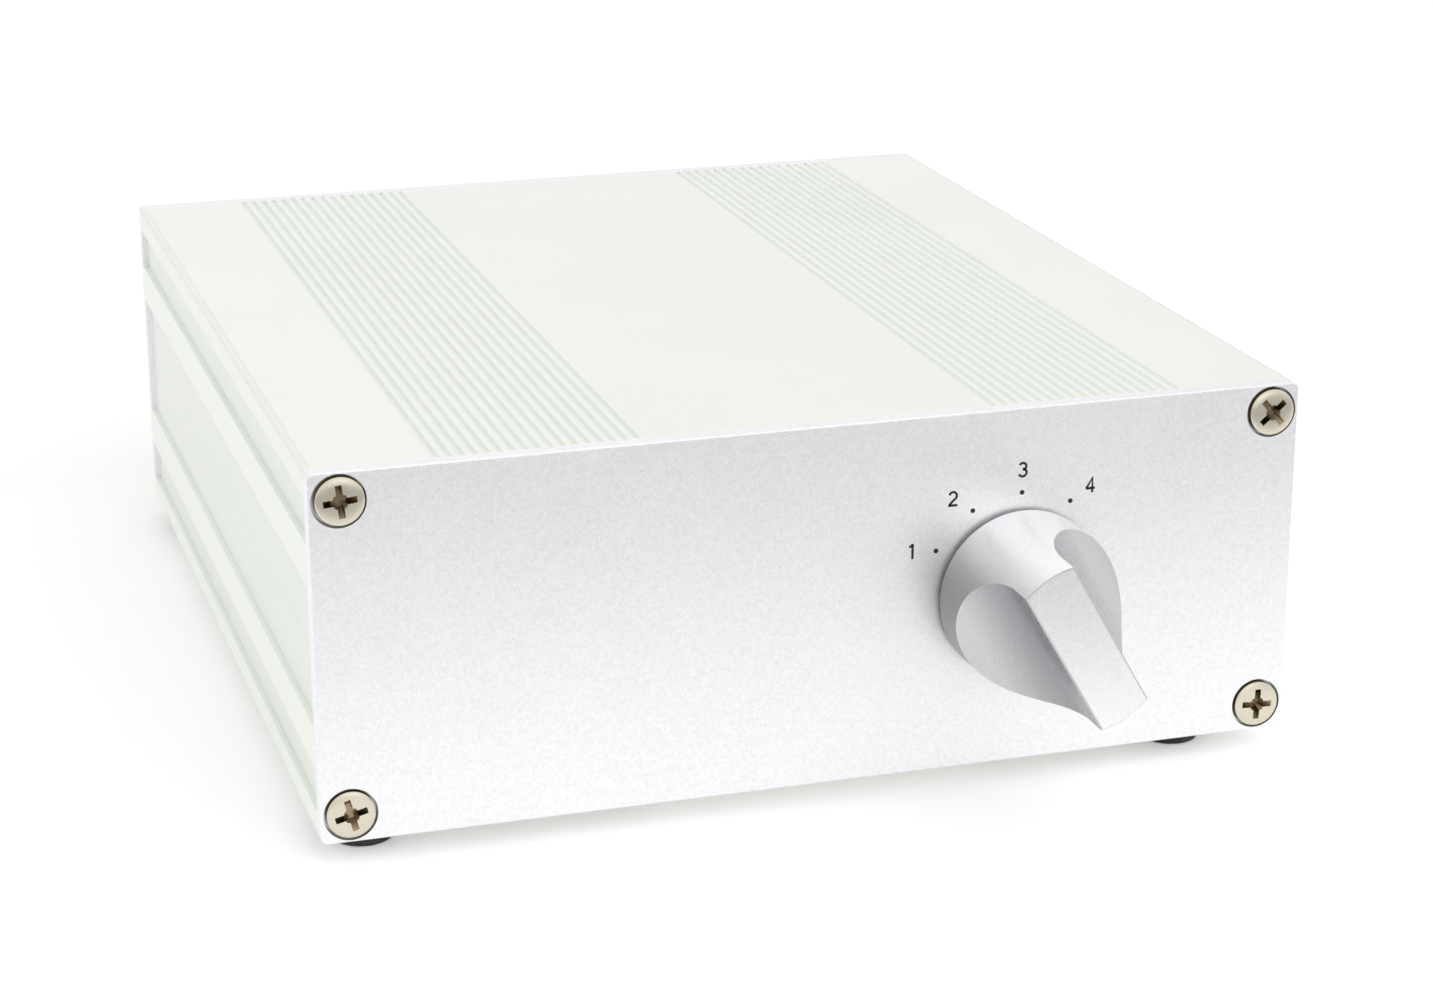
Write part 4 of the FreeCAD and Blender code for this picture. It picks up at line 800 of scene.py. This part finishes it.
def repeated(name, source_mesh, places, material, kept=None):
    """One mesh with a copy of the source at every (point, turn) place; faces of a kept material keep it."""
    points = bpy.data.meshes.new(name + "_points")
    points.from_pydata([tuple(point) for point, _ in places], [], [])
    turns = points.attributes.new("turn", "FLOAT_VECTOR", "POINT")
    for value, (_, turn) in zip(turns.data, places):
        value.vector = turn
    source = helper_object(name + "_source", source_mesh)
    holder = helper_object(name + "_holder", points)
    modifier = holder.modifiers.new("Repeat", "NODES")
    modifier.node_group = repeat_tree(name + " places", source, material, kept)
    sockets = modifier.node_group.interface.items_tree
    modifier[next(socket.identifier for socket in sockets if socket.name == "Size")] = 1.0
    mesh = baked(holder)
    drop(source)
    return mesh


# Pieces

def make_finishes():
    FINISHES.update(metal_finishes())
    metal = settings("metal")
    # Painted shade in the case's sunk bands and groove floors
    blend_in(FINISHES["case"], metal.case_painted_shade_colour, painted_shade_on_sunk_bands)
    # Painted shade where the left scoop meets the grip bar
    blend_in(FINISHES["milled"], metal.painted_root_shade_colour, painted_shade_near_grip_bar)
    # Painted shade on the left of the knob's turned wall
    blend_in(FINISHES["knob"], metal.painted_wall_shade_colour, painted_shade_on_left_wall)
    FINISHES.update(inner_finishes())
    for finish_name, nodes in FINISHED_NODES.items():
        for node in nodes:
            for slot in frame["nodes"][node].material_slots:
                slot.material = FINISHES[finish_name]


def make_case():
    """Shells and end plates with their sharp edges broken, as tumbled and blasted metal has them."""
    case = settings("case")
    sharp = 25
    weld = 0.002 * MM
    pieces = (
        ("upper_shell", "case", "case_aluminium", case.shell_edge),
        ("lower_shell", "case", "case_aluminium", case.shell_edge),
        ("front_panel", "panel", "panel_aluminium", case.plate_edge),
        ("rear_panel", "panel", "panel_aluminium", case.plate_edge),
    )
    for name, finish_name, slot, width in pieces:
        bevel = {
            "width": width,
            "segments": 2,
            "limit_method": "ANGLE",
            "angle_limit": math.radians(sharp),
            "use_clamp_overlap": True,
            "harden_normals": True,
        }
        whole = sharpen(welded(frame["nodes"][name].data, weld), sharp)
        mesh = applied(name + "_bevelled", whole, "BEVEL", bevel)
        mesh.materials.clear()
        mesh.materials.append(FINISHES[finish_name])
        new_piece(name + "_dressed", mesh, CASE_BODY, slot, name)


def scoop_cutter(side):
    """A block along the grip bar whose inner side is the wall and hollow of one scoop."""
    knob = settings("knob")
    half_bar = knob.bar_width / 2
    clear = 2 * KNOB_RADIUS
    past_wall = 1.04
    steps = 40
    wall_end = KNOB_LENGTH - knob.wall_depth
    outline = [(half_bar, KNOB_LENGTH + clear), (half_bar, wall_end)]
    centre = half_bar + knob.scoop_radius
    reach = math.acos(max(-1.0, (centre - KNOB_RADIUS * past_wall) / knob.scoop_radius))
    for step in range(1, steps + 1):
        angle = reach * step / steps
        outline.append(
            (centre - knob.scoop_radius * math.cos(angle), wall_end - knob.scoop_radius * math.sin(angle))
        )
    outline.append((clear, outline[-1][1]))
    outline.append((clear, KNOB_LENGTH + clear))
    work = bmesh.new()
    ends = [[work.verts.new((side * u, along, v)) for u, v in outline] for along in (-clear, clear)]
    for end in ends:
        work.faces.new(end)
    join_loops(work, *ends)
    mesh = mesh_of("scoop_cutter", work)
    mesh.materials.append(FINISHES["milled"])
    return helper_object("scoop_cutter", mesh)


def make_knob():
    """The knob, cut from a turned blank: two scoops, a hollow back and a set screw's hole."""
    knob = settings("knob")
    shaft_radius = 3.03 * MM
    bore_depth = 14.0 * MM
    blank = [
        (0.0, bore_depth),
        (shaft_radius, bore_depth),
        (shaft_radius, knob.recess_depth),
        (knob.recess_radius, knob.recess_depth),
        (knob.recess_radius, 0.0),
        (KNOB_RADIUS, 0.0),
        (KNOB_RADIUS, KNOB_LENGTH),
        (0.0, KNOB_LENGTH),
    ]
    # So many steps that the bar's corners cut none of them shorter than the bevel
    mesh = mesh_of("knob_blank", lathe(blank, steps=176))
    mesh.materials.append(FINISHES["knob"])
    drill = [
        (0.0, 0.0),
        (knob.grub_radius, 0.0),
        (knob.grub_radius, KNOB_RADIUS * 2),
        (0.0, KNOB_RADIUS * 2),
    ]
    hole = lathe(drill, steps=40)
    bmesh.ops.rotate(hole, verts=hole.verts, matrix=Matrix.Rotation(math.pi / 2, 3, "X"))
    bmesh.ops.translate(hole, verts=hole.verts, vec=(0.0, 0.0, knob.grub_height))
    cutters = [scoop_cutter(-1), scoop_cutter(1), helper_object("grub_hole", mesh_of("grub_hole", hole))]
    cut = {"operation": "DIFFERENCE", "solver": "EXACT", "material_mode": "TRANSFER"}
    mesh = applied("knob_cut", mesh, "BOOLEAN", *({"object": cutter, **cut} for cutter in cutters))
    drop(*cutters)
    mesh = sharpen(welded(mesh, 0.01 * MM), angle=30)
    mesh.materials.append(FINISHES["chamfer"])
    weigh_outline(mesh, KNOB_LENGTH)
    bevel = {
        "width": knob.edge,
        "segments": 1,
        "limit_method": "WEIGHT",
        "material": 2,
        "use_clamp_overlap": False,
    }
    mesh = sharpen(applied("knob_bevelled", mesh, "BEVEL", bevel), angle=20)
    turn = Matrix.Rotation(knob.rest_turn, 4, "Y") @ Matrix.Rotation(math.pi / 2, 4, "X")
    mesh.transform(Matrix.Translation((AXIS.x, KNOB_HIGH.y, AXIS.z)) @ turn)
    new_piece("knob_dressed", mesh, TURNING_BODY, "knob_aluminium", "knob")


def cross_cutter():
    """The driver's cross: two tapered bars that meet over a small pit."""
    screw = settings("screw")
    half = screw.cross_length / 2
    width = screw.cross_width / 2
    top = screw.head_height + screw.cross_depth * 0.2
    bottom = screw.head_height - screw.cross_depth
    # Height, half length and half width of a bar at its foot and its mouth
    foot = (bottom, half * 0.42, width * 0.75)
    mouth = (top, half * 1.06, width * 1.05)
    work = bmesh.new()
    for turn in (0.0, math.pi / 2):
        loops = []
        for height, reach, wide in (foot, mouth):
            loop = []
            for x, y in ((-reach, -wide), (reach, -wide), (reach, wide), (-reach, wide)):
                spot = Vector((x, y, height))
                spot.rotate(Euler((0.0, 0.0, turn)))
                loop.append(work.verts.new(spot))
            loops.append(loop)
        low, high = loops
        work.faces.new(low[::-1])
        work.faces.new(high)
        join_loops(work, low, high)
    bars = set(work.faces)
    middle = Matrix.Translation((0.0, 0.0, (top + bottom) / 2))
    bmesh.ops.create_cone(
        work, cap_ends=True, segments=8, radius1=screw.cross_width * 0.6, radius2=screw.cross_centre,
        depth=top - bottom, matrix=middle @ Matrix.Rotation(math.radians(45), 4, "Z"),
    )
    # The bars take the dark recess finish as painted shade; the pit keeps the nickel
    for face in work.faces:
        face.material_index = 0 if face in bars else 1
    bmesh.ops.recalc_face_normals(work, faces=work.faces)
    mesh = new_mesh("cross_cutter", work)
    mesh.materials.append(FINISHES["recess"])
    mesh.materials.append(FINISHES["nickel"])
    return helper_object("cross_cutter", mesh)


def screw_mesh():
    """A cross-recessed screw with a low crown and a rim darkened as painted shadow, its seat on the local
    XY plane.
    """
    screw = settings("screw")
    threads = 10
    crown_steps = 10
    crown_fullness = 0.55
    root = screw.shank_radius * 0.78
    shank_end = -screw.shank_length + screw.shank_radius
    pitch = -shank_end / threads
    outline = [
        (0.0, -screw.shank_length),
        (screw.shank_radius * 0.4, -screw.shank_length),
        (screw.shank_radius, shank_end),
    ]
    for index in range(threads):
        base = shank_end + index * pitch
        outline.append((root, base + pitch * 0.5))
        outline.append((screw.shank_radius, base + pitch))
    outline.append((screw.head_radius, 0.0))
    outline.append((screw.head_radius, screw.rim_height))
    rise = screw.head_height - screw.rim_height
    for step in range(1, crown_steps):
        angle = math.pi / 2 * step / crown_steps
        radius = screw.head_radius * math.cos(angle) ** crown_fullness
        outline.append((radius, screw.rim_height + rise * math.sin(angle)))
    outline.append((0.0, screw.head_height))
    mesh = mesh_of("screw_blank", lathe(outline, steps=64), angle=40)
    mesh.materials.append(FINISHES["nickel"])
    mesh.materials.append(FINISHES["recess"])
    # The upright rim takes the dark recess finish: painted shadow of the gap between head and seat
    for face in mesh.polygons:
        outer = math.hypot(face.center.x, face.center.y) > screw.head_radius * 0.9
        upright = abs(face.normal.z) < 0.4
        face.material_index = 1 if outer and upright else 0
    cutter = cross_cutter()
    cut = {"operation": "DIFFERENCE", "solver": "EXACT", "use_self": True, "material_mode": "TRANSFER"}
    mesh = applied("screw_cut", mesh, "BOOLEAN", {"object": cutter, **cut})
    drop(cutter)
    return sharpen(mesh, angle=32)


def screw_places(y, facing, turns, shifts):
    """Places of four screws: left and right at the top, then left and right at the bottom.

    A turn is in degrees. A shift is where a head sits off the middle of its seat, across and up,
    in millimetres.
    """
    screw = settings("screw")
    places = []
    corners = [(-1, 1), (1, 1), (-1, -1), (1, -1)]
    for (across, up), turn, shift in zip(corners, turns, shifts):
        x = across * (PANEL_HIGH.x - screw.inset_side) + shift[0] * MM
        z = MIDDLE_Z + up * (PANEL_HIGH.z - MIDDLE_Z - screw.inset_edge) + shift[1] * MM
        spin = Euler((0.0, 0.0, math.radians(turn))).to_matrix()
        places.append(((x, y, z), (Euler(facing).to_matrix() @ spin).to_euler()))
    return places


def make_screws():
    screw = settings("screw")
    mesh = screw_mesh()
    seat_depth = screw.head_height - screw.proud
    front_turns = (5.5, 40.5, 14.5, -2.5)
    front_shifts = ((0.13, -0.04), (0.13, -0.06), (0.03, -0.02), (0.07, -0.06))
    rear_turns = (15.0, 50.0, 70.0, 32.0)
    rear_shifts = ((0.05, 0.02), (-0.06, 0.04), (0.02, -0.05), (-0.03, -0.04))
    rows = (
        ("front", FACE_Y + seat_depth, FORWARD, front_turns, front_shifts),
        ("rear", REAR_HIGH.y - seat_depth, BACKWARD, rear_turns, rear_shifts),
    )
    for name, y, facing, turns, shifts in rows:
        places = screw_places(y, facing, turns, shifts)
        made = repeated(name + "_screws", mesh, places, FINISHES["nickel"], FINISHES["recess"])
        new_piece(name + "_screws_dressed", made, CASE_BODY, "nickel_screws", name + "_panel_screws")


def make_feet():
    foot = settings("foot")
    taper = [
        (0.0, 0.0),
        (foot.floor_radius, 0.0),
        (foot.top_radius, foot.height),
        (0.0, foot.height),
    ]
    mesh = mesh_of("foot", lathe(rounded(taper, foot.rounding), steps=72))
    places = []
    for x in (PANEL_LOW.x + foot.inset_left, PANEL_HIGH.x - foot.inset_right):
        for y in (FACE_Y + foot.inset_end, REAR_HIGH.y - foot.inset_end):
            places.append(((x, y, 0.0), (0.0, 0.0, 0.0)))
    made = repeated("feet", mesh, places, FINISHES["rubber"])
    new_piece("feet_dressed", made, CASE_BODY, "foot_rubber", "rubber_feet")


def socket_places(rows, y):
    """Places of the sockets of some rows: 1 is the upper row and -1 the lower."""
    socket = settings("socket")
    middle_z = (REAR_LOW.z + REAR_HIGH.z) / 2
    places = []
    for row in rows:
        for column in range(socket.columns):
            x = (column - (socket.columns - 1) / 2) * socket.pitch
            places.append(((x, y, middle_z + row * socket.row_pitch / 2), BACKWARD))
    return places


def make_sockets():
    socket = settings("socket")
    inside = socket.radius - socket.wall
    end = socket.stand_out
    lip = 0.35 * MM
    waist = socket.radius - 0.15 * MM
    shell = [
        (inside, 0.0),
        (socket.radius, 0.0),
        (socket.radius, end * 0.16),
        (waist, end * 0.2),
        (waist, end * 0.26),
        (socket.radius, end * 0.3),
        (socket.radius, end - lip),
        (socket.radius - lip * 0.7, end),
        (inside + lip * 0.4, end),
        (inside, end - lip),
    ]
    mesh = mesh_of("socket_shell", lathe(shell, steps=96), angle=50)
    made = repeated("shells", mesh, socket_places((1, -1), REAR_HIGH.y), FINISHES["gold"])
    new_piece("socket_shells_dressed", made, CASE_BODY, "socket_metal", "socket_shells")
    depth = (REAR_HIGH.y - REAR_LOW.y) + end - socket.recess
    outer = inside - 0.02 * MM
    bore = socket.bore_radius
    chamfer = 0.25 * MM
    insert = [
        (bore, 0.0),
        (outer, 0.0),
        (outer, depth),
        (bore + chamfer * 2.2, depth),
        (bore + chamfer * 2.0, depth - chamfer),
        (bore + chamfer, depth - chamfer),
        (bore, depth - chamfer * 2),
    ]
    mesh = mesh_of("socket_insert", lathe(insert, steps=80))
    for side, row, colour in (("left", 1, "white"), ("right", -1, "red")):
        places = socket_places((row,), REAR_LOW.y)
        made = repeated(side + "_inserts", mesh, places, FINISHES[colour])
        slot = colour + "_insulator"
        new_piece(side + "_inserts_dressed", made, CASE_BODY, slot, side + "_socket_inserts")


def arc_points(x, y, radius_x, radius_y, first, last):
    """Points along an elliptic arc, its angles in degrees and anticlockwise."""
    steps = 14
    points = []
    for step in range(steps + 1):
        angle = math.radians(first + (last - first) * step / steps)
        points.append((x + radius_x * math.cos(angle), y + radius_y * math.sin(angle)))
    return points


# The strokes of each plain number, in a box one unit high with its middle at the origin
NUMBER_STROKES = (
    ([(-0.16, 0.30), (-0.02, 0.36), (0.06, 0.47)], [(0.06, 0.5), (0.06, -0.5)]),
    (
        arc_points(0.0, 0.18, 0.25, 0.26, 165, -32) + [(-0.06, -0.20), (-0.26, -0.44)],
        [(-0.31, -0.44), (0.30, -0.44)],
    ),
    (arc_points(0.0, 0.22, 0.23, 0.22, 155, -90), arc_points(0.0, -0.20, 0.26, 0.245, 90, -158)),
    ([(0.13, -0.5), (0.13, 0.47), (-0.28, -0.21)], [(-0.31, -0.21), (0.31, -0.21)]),
)


def add_stroke(work, points, width, depth, matrix):
    """A flat, thick ribbon along a line of points, mitred where it bends."""
    sharpest = 0.5
    spots = [Vector(point) for point in points]
    rims = []
    for index, spot in enumerate(spots):
        back = spots[max(index - 1, 0)]
        ahead = spots[min(index + 1, len(spots) - 1)]
        before = (spot - back).normalized() if index else (ahead - spot).normalized()
        after = (ahead - spot).normalized() if index < len(spots) - 1 else before
        middle = (before + after).normalized()
        across = Vector((-middle.y, middle.x)) * width / 2 / max(middle.dot(after), sharpest)
        corners = []
        for side, height in ((-1, -depth), (1, -depth), (1, depth), (-1, depth)):
            flat = spot + across * side
            corners.append(work.verts.new(matrix @ Vector((flat.x, flat.y, height))))
        rims.append(corners)
    work.faces.new(rims[0][::-1])
    work.faces.new(rims[-1])
    for first, second in zip(rims, rims[1:]):
        join_loops(work, first, second)


def on_face(radius, turn):
    """A place on the front plate, at a distance and direction from the knob's axis."""
    spot = Vector((AXIS.x + math.sin(turn) * radius, FACE_Y, AXIS.z + math.cos(turn) * radius))
    return Matrix.Translation(spot) @ Matrix.Rotation(math.pi / 2, 4, "X")


def make_print():
    """Dots on the channels' directions, each with its number further out."""
    marks = settings("print")
    height = marks.number_height
    ink = finish("Print ink", "moulded", marks.ink, bump=0.1, Skin_size=0.2 * MM, Dust=0.02, Roughness=0.55)
    dots = bmesh.new()
    for way in range(marks.ways):
        turn = marks.first_turn + way * marks.step_turn
        bmesh.ops.create_cone(
            dots, cap_ends=True, segments=32, radius1=marks.dot_radius, radius2=marks.dot_radius,
            depth=marks.thickness * 2, matrix=on_face(marks.dot_circle, turn),
        )
        fan = marks.number_fan * (0 if abs(turn) < marks.step_turn / 2 else math.copysign(1, turn))
        matrix = on_face(marks.number_circle, turn + fan) @ Matrix.Diagonal((height, height, 1, 1))
        digit = bmesh.new()
        for stroke in NUMBER_STROKES[way]:
            add_stroke(digit, stroke, marks.number_stroke / height, marks.thickness, matrix)
        mesh = mesh_of("number", digit)
        mesh.materials.append(ink)
        new_piece("channel_number_{}".format(way + 1), mesh, CASE_BODY, "switch_plastic")
    mesh = mesh_of("dots", dots)
    mesh.materials.append(ink)
    new_piece("channel_dots", mesh, CASE_BODY, "switch_plastic")


def lamp(name, place, target, size, power, mirrored=True):
    """A square softbox that faces a target; metal mirrors it or not."""
    data = bpy.data.lights.new(name, "AREA")
    data.size = size
    data.energy = power
    made = bpy.data.objects.new(name, data)
    made.location = place
    made.visible_glossy = mirrored
    aim = Vector(target) - Vector(place)
    made.rotation_euler = aim.to_track_quat("-Z", "Y").to_euler()
    bpy.context.scene.collection.objects.link(made)


def seen_by_eye(tree):
    """1 for what the camera sees, straight or in a reflection, and 0 for the light that falls on things."""
    path = tree.node("ShaderNodeLightPath").outputs
    mirrored = tree.math("MAXIMUM", path["Is Glossy Ray"], path["Is Transmission Ray"])
    return tree.math("MAXIMUM", path["Is Camera Ray"], mirrored)


def floor_shade(tree):
    """A soft grey pool in front, hidden from the camera: the front plate mirrors a darker room there."""
    pool_middle_x = 0.1
    parts = tree.parts(tree.place())
    near_rim = tree.ramp(parts["Y"], -0.11, -0.19)
    far_rim = tree.ramp(parts["Y"], -1.1, -0.5)
    side_rims = tree.ramp(tree.distance(parts["X"], pool_middle_x), 0.9, 0.4)
    pool = tree.times(tree.times(near_rim, far_rim), side_rims)
    direct = tree.node("ShaderNodeLightPath").outputs["Is Camera Ray"]
    return tree.times(pool, tree.minus(1.0, direct))


def floor_material(stage):
    """Matt and pale, and lifted where it is seen, so it looks white and keeps the object's shadow."""
    material = bpy.data.materials.new("Pale sweep")
    material.use_nodes = True
    tree = Tree(material.node_tree)
    principled = material.node_tree.nodes["Principled BSDF"]
    shade = floor_shade(tree)
    colour = tree.blend(shade, (*stage.floor_colour, 1.0), (*stage.shade_colour, 1.0))
    tree.feed(principled, "Base Color", colour)
    tree.feed(principled, "Roughness", 0.9)
    tree.feed(principled, "Specular IOR Level", 0.0)
    open_floor = tree.minus(1.0, shade)
    strength = tree.times(seen_by_eye(tree), tree.times(open_floor, stage.floor_lift))
    lift = tree.node("ShaderNodeEmission", {"Strength": strength})
    both = tree.node("ShaderNodeAddShader", {0: principled.outputs[0], 1: lift.outputs[0]})
    tree.feed(material.node_tree.nodes["Material Output"], "Surface", both.outputs[0])
    return material


def make_floor(stage):
    """A wide sweep: flat under the object and curved up far behind it."""
    half_width = 4.0
    front = -3.0
    bend_start = 2.0
    bend_radius = 1.0
    backdrop_height = 4.0
    steps = 16
    line = [(front, 0.0), (bend_start, 0.0)]
    for step in range(1, steps + 1):
        angle = math.pi / 2 * step / steps
        line.append((bend_start + bend_radius * math.sin(angle), bend_radius * (1 - math.cos(angle))))
    line.append((bend_start + bend_radius, backdrop_height))
    work = bmesh.new()
    rows = [[work.verts.new((side * half_width, y, z)) for side in (-1, 1)] for y, z in line]
    for near, far in zip(rows, rows[1:]):
        work.faces.new((near[0], near[1], far[1], far[0]))
    for face in work.faces:
        face.smooth = True
    mesh = new_mesh("floor", work)
    mesh.materials.append(floor_material(stage))
    floor = bpy.data.objects.new("floor", mesh)
    bpy.context.scene.collection.objects.link(floor)


def make_world(stage):
    """An even light from all round; the camera sees plain white past the sweep."""
    world = bpy.data.worlds.new("Studio")
    bpy.context.scene.world = world
    world.use_nodes = True
    tree = Tree(world.node_tree)
    background = world.node_tree.nodes["Background"]
    tree.feed(background, "Color", WHITE)
    lift = tree.times(seen_by_eye(tree), 1.0 - stage.world_light)
    tree.feed(background, "Strength", tree.plus(lift, stage.world_light))


def make_camera(stage):
    """The camera at the photograph's place."""
    data = bpy.data.cameras.new("Camera")
    data.lens = stage.lens
    data.sensor_width = 36.0
    data.clip_start = 0.01
    camera = bpy.data.objects.new("Camera", data)
    camera.location = stage.camera_place
    camera.rotation_euler = (math.pi / 2 - stage.look_down, stage.roll, -stage.look_right)
    bpy.context.scene.collection.objects.link(camera)
    bpy.context.scene.camera = camera


def make_stage():
    """Camera, floor, world and lamps."""
    stage = settings("stage")
    bpy.context.scene.view_settings.view_transform = "Standard"
    make_camera(stage)
    make_floor(stage)
    make_world(stage)
    lamp("Top softbox", place=(-0.12, 0.25, 0.8), target=(0.0, 0.0, 0.02), size=1.6, power=1.4)
    lamp("Front fill", place=(0.3, -0.7, 0.6), target=(0.0, 0.0, 0.02), size=0.9, power=3.0, mirrored=False)
    lamp("Low front light", place=(0.12, -0.75, 0.14), target=(0.0, 0.0, 0.03), size=0.35, power=0.22)


class SELECTOR_OT_finishes(bpy.types.Operator):
    """Give every part of the selector its finish"""

    bl_idname = "selector.finishes"
    bl_label = "Finishes"

    def execute(self, context):
        make_finishes()
        return {"FINISHED"}


class SELECTOR_OT_case(bpy.types.Operator):
    """Break the edges of the shells and end plates"""

    bl_idname = "selector.case"
    bl_label = "Case"

    def execute(self, context):
        make_case()
        return {"FINISHED"}


class SELECTOR_OT_knob(bpy.types.Operator):
    """Model the knob with its scooped grip bar"""

    bl_idname = "selector.knob"
    bl_label = "Knob"

    def execute(self, context):
        make_knob()
        return {"FINISHED"}


class SELECTOR_OT_screws(bpy.types.Operator):
    """Model the cross-recessed screws of both end plates"""

    bl_idname = "selector.screws"
    bl_label = "Screws"

    def execute(self, context):
        make_screws()
        return {"FINISHED"}


class SELECTOR_OT_feet(bpy.types.Operator):
    """Model the stick-on feet"""

    bl_idname = "selector.feet"
    bl_label = "Feet"

    def execute(self, context):
        make_feet()
        return {"FINISHED"}


class SELECTOR_OT_sockets(bpy.types.Operator):
    """Model the phono sockets at the back"""

    bl_idname = "selector.sockets"
    bl_label = "Sockets"

    def execute(self, context):
        make_sockets()
        return {"FINISHED"}


class SELECTOR_OT_print(bpy.types.Operator):
    """Print the dots and channel numbers round the knob"""

    bl_idname = "selector.print_marks"
    bl_label = "Print"

    def execute(self, context):
        make_print()
        return {"FINISHED"}


class SELECTOR_OT_stage(bpy.types.Operator):
    """Set up the floor, lamps and camera"""

    bl_idname = "selector.stage"
    bl_label = "Stage"

    def execute(self, context):
        make_stage()
        return {"FINISHED"}


OPERATORS = (
    SELECTOR_OT_finishes,
    SELECTOR_OT_case,
    SELECTOR_OT_knob,
    SELECTOR_OT_screws,
    SELECTOR_OT_feet,
    SELECTOR_OT_sockets,
    SELECTOR_OT_print,
    SELECTOR_OT_stage,
)


class SELECTOR_PT_panel(bpy.types.Panel):
    """The steps of the selector, with their sizes and colours"""

    bl_label = "Source selector"
    bl_idname = "SELECTOR_PT_panel"
    bl_space_type = "VIEW_3D"
    bl_region_type = "UI"
    bl_category = "Selector"

    def draw(self, context):
        for operator in OPERATORS:
            self.layout.operator(operator.bl_idname)
        for name, kind in SETTINGS.items():
            box = self.layout.box()
            box.label(text=name.capitalize())
            for value in kind.__annotations__:
                box.prop(settings(name), value)


def register():
    for kind in (*SETTINGS.values(), *OPERATORS, SELECTOR_PT_panel):
        bpy.utils.register_class(kind)
    for name, kind in SETTINGS.items():
        setattr(bpy.types.Scene, "selector_" + name, bpy.props.PointerProperty(type=kind))


def unregister():
    for name in SETTINGS:
        delattr(bpy.types.Scene, "selector_" + name)
    for kind in reversed((*SETTINGS.values(), *OPERATORS, SELECTOR_PT_panel)):
        bpy.utils.unregister_class(kind)


def main():
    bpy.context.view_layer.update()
    register()
    bpy.ops.selector.finishes()
    bpy.ops.selector.case()
    bpy.ops.selector.knob()
    bpy.ops.selector.screws()
    bpy.ops.selector.feet()
    bpy.ops.selector.sockets()
    bpy.ops.selector.print_marks()
    bpy.ops.selector.stage()


if __name__ == "__main__":
    main()
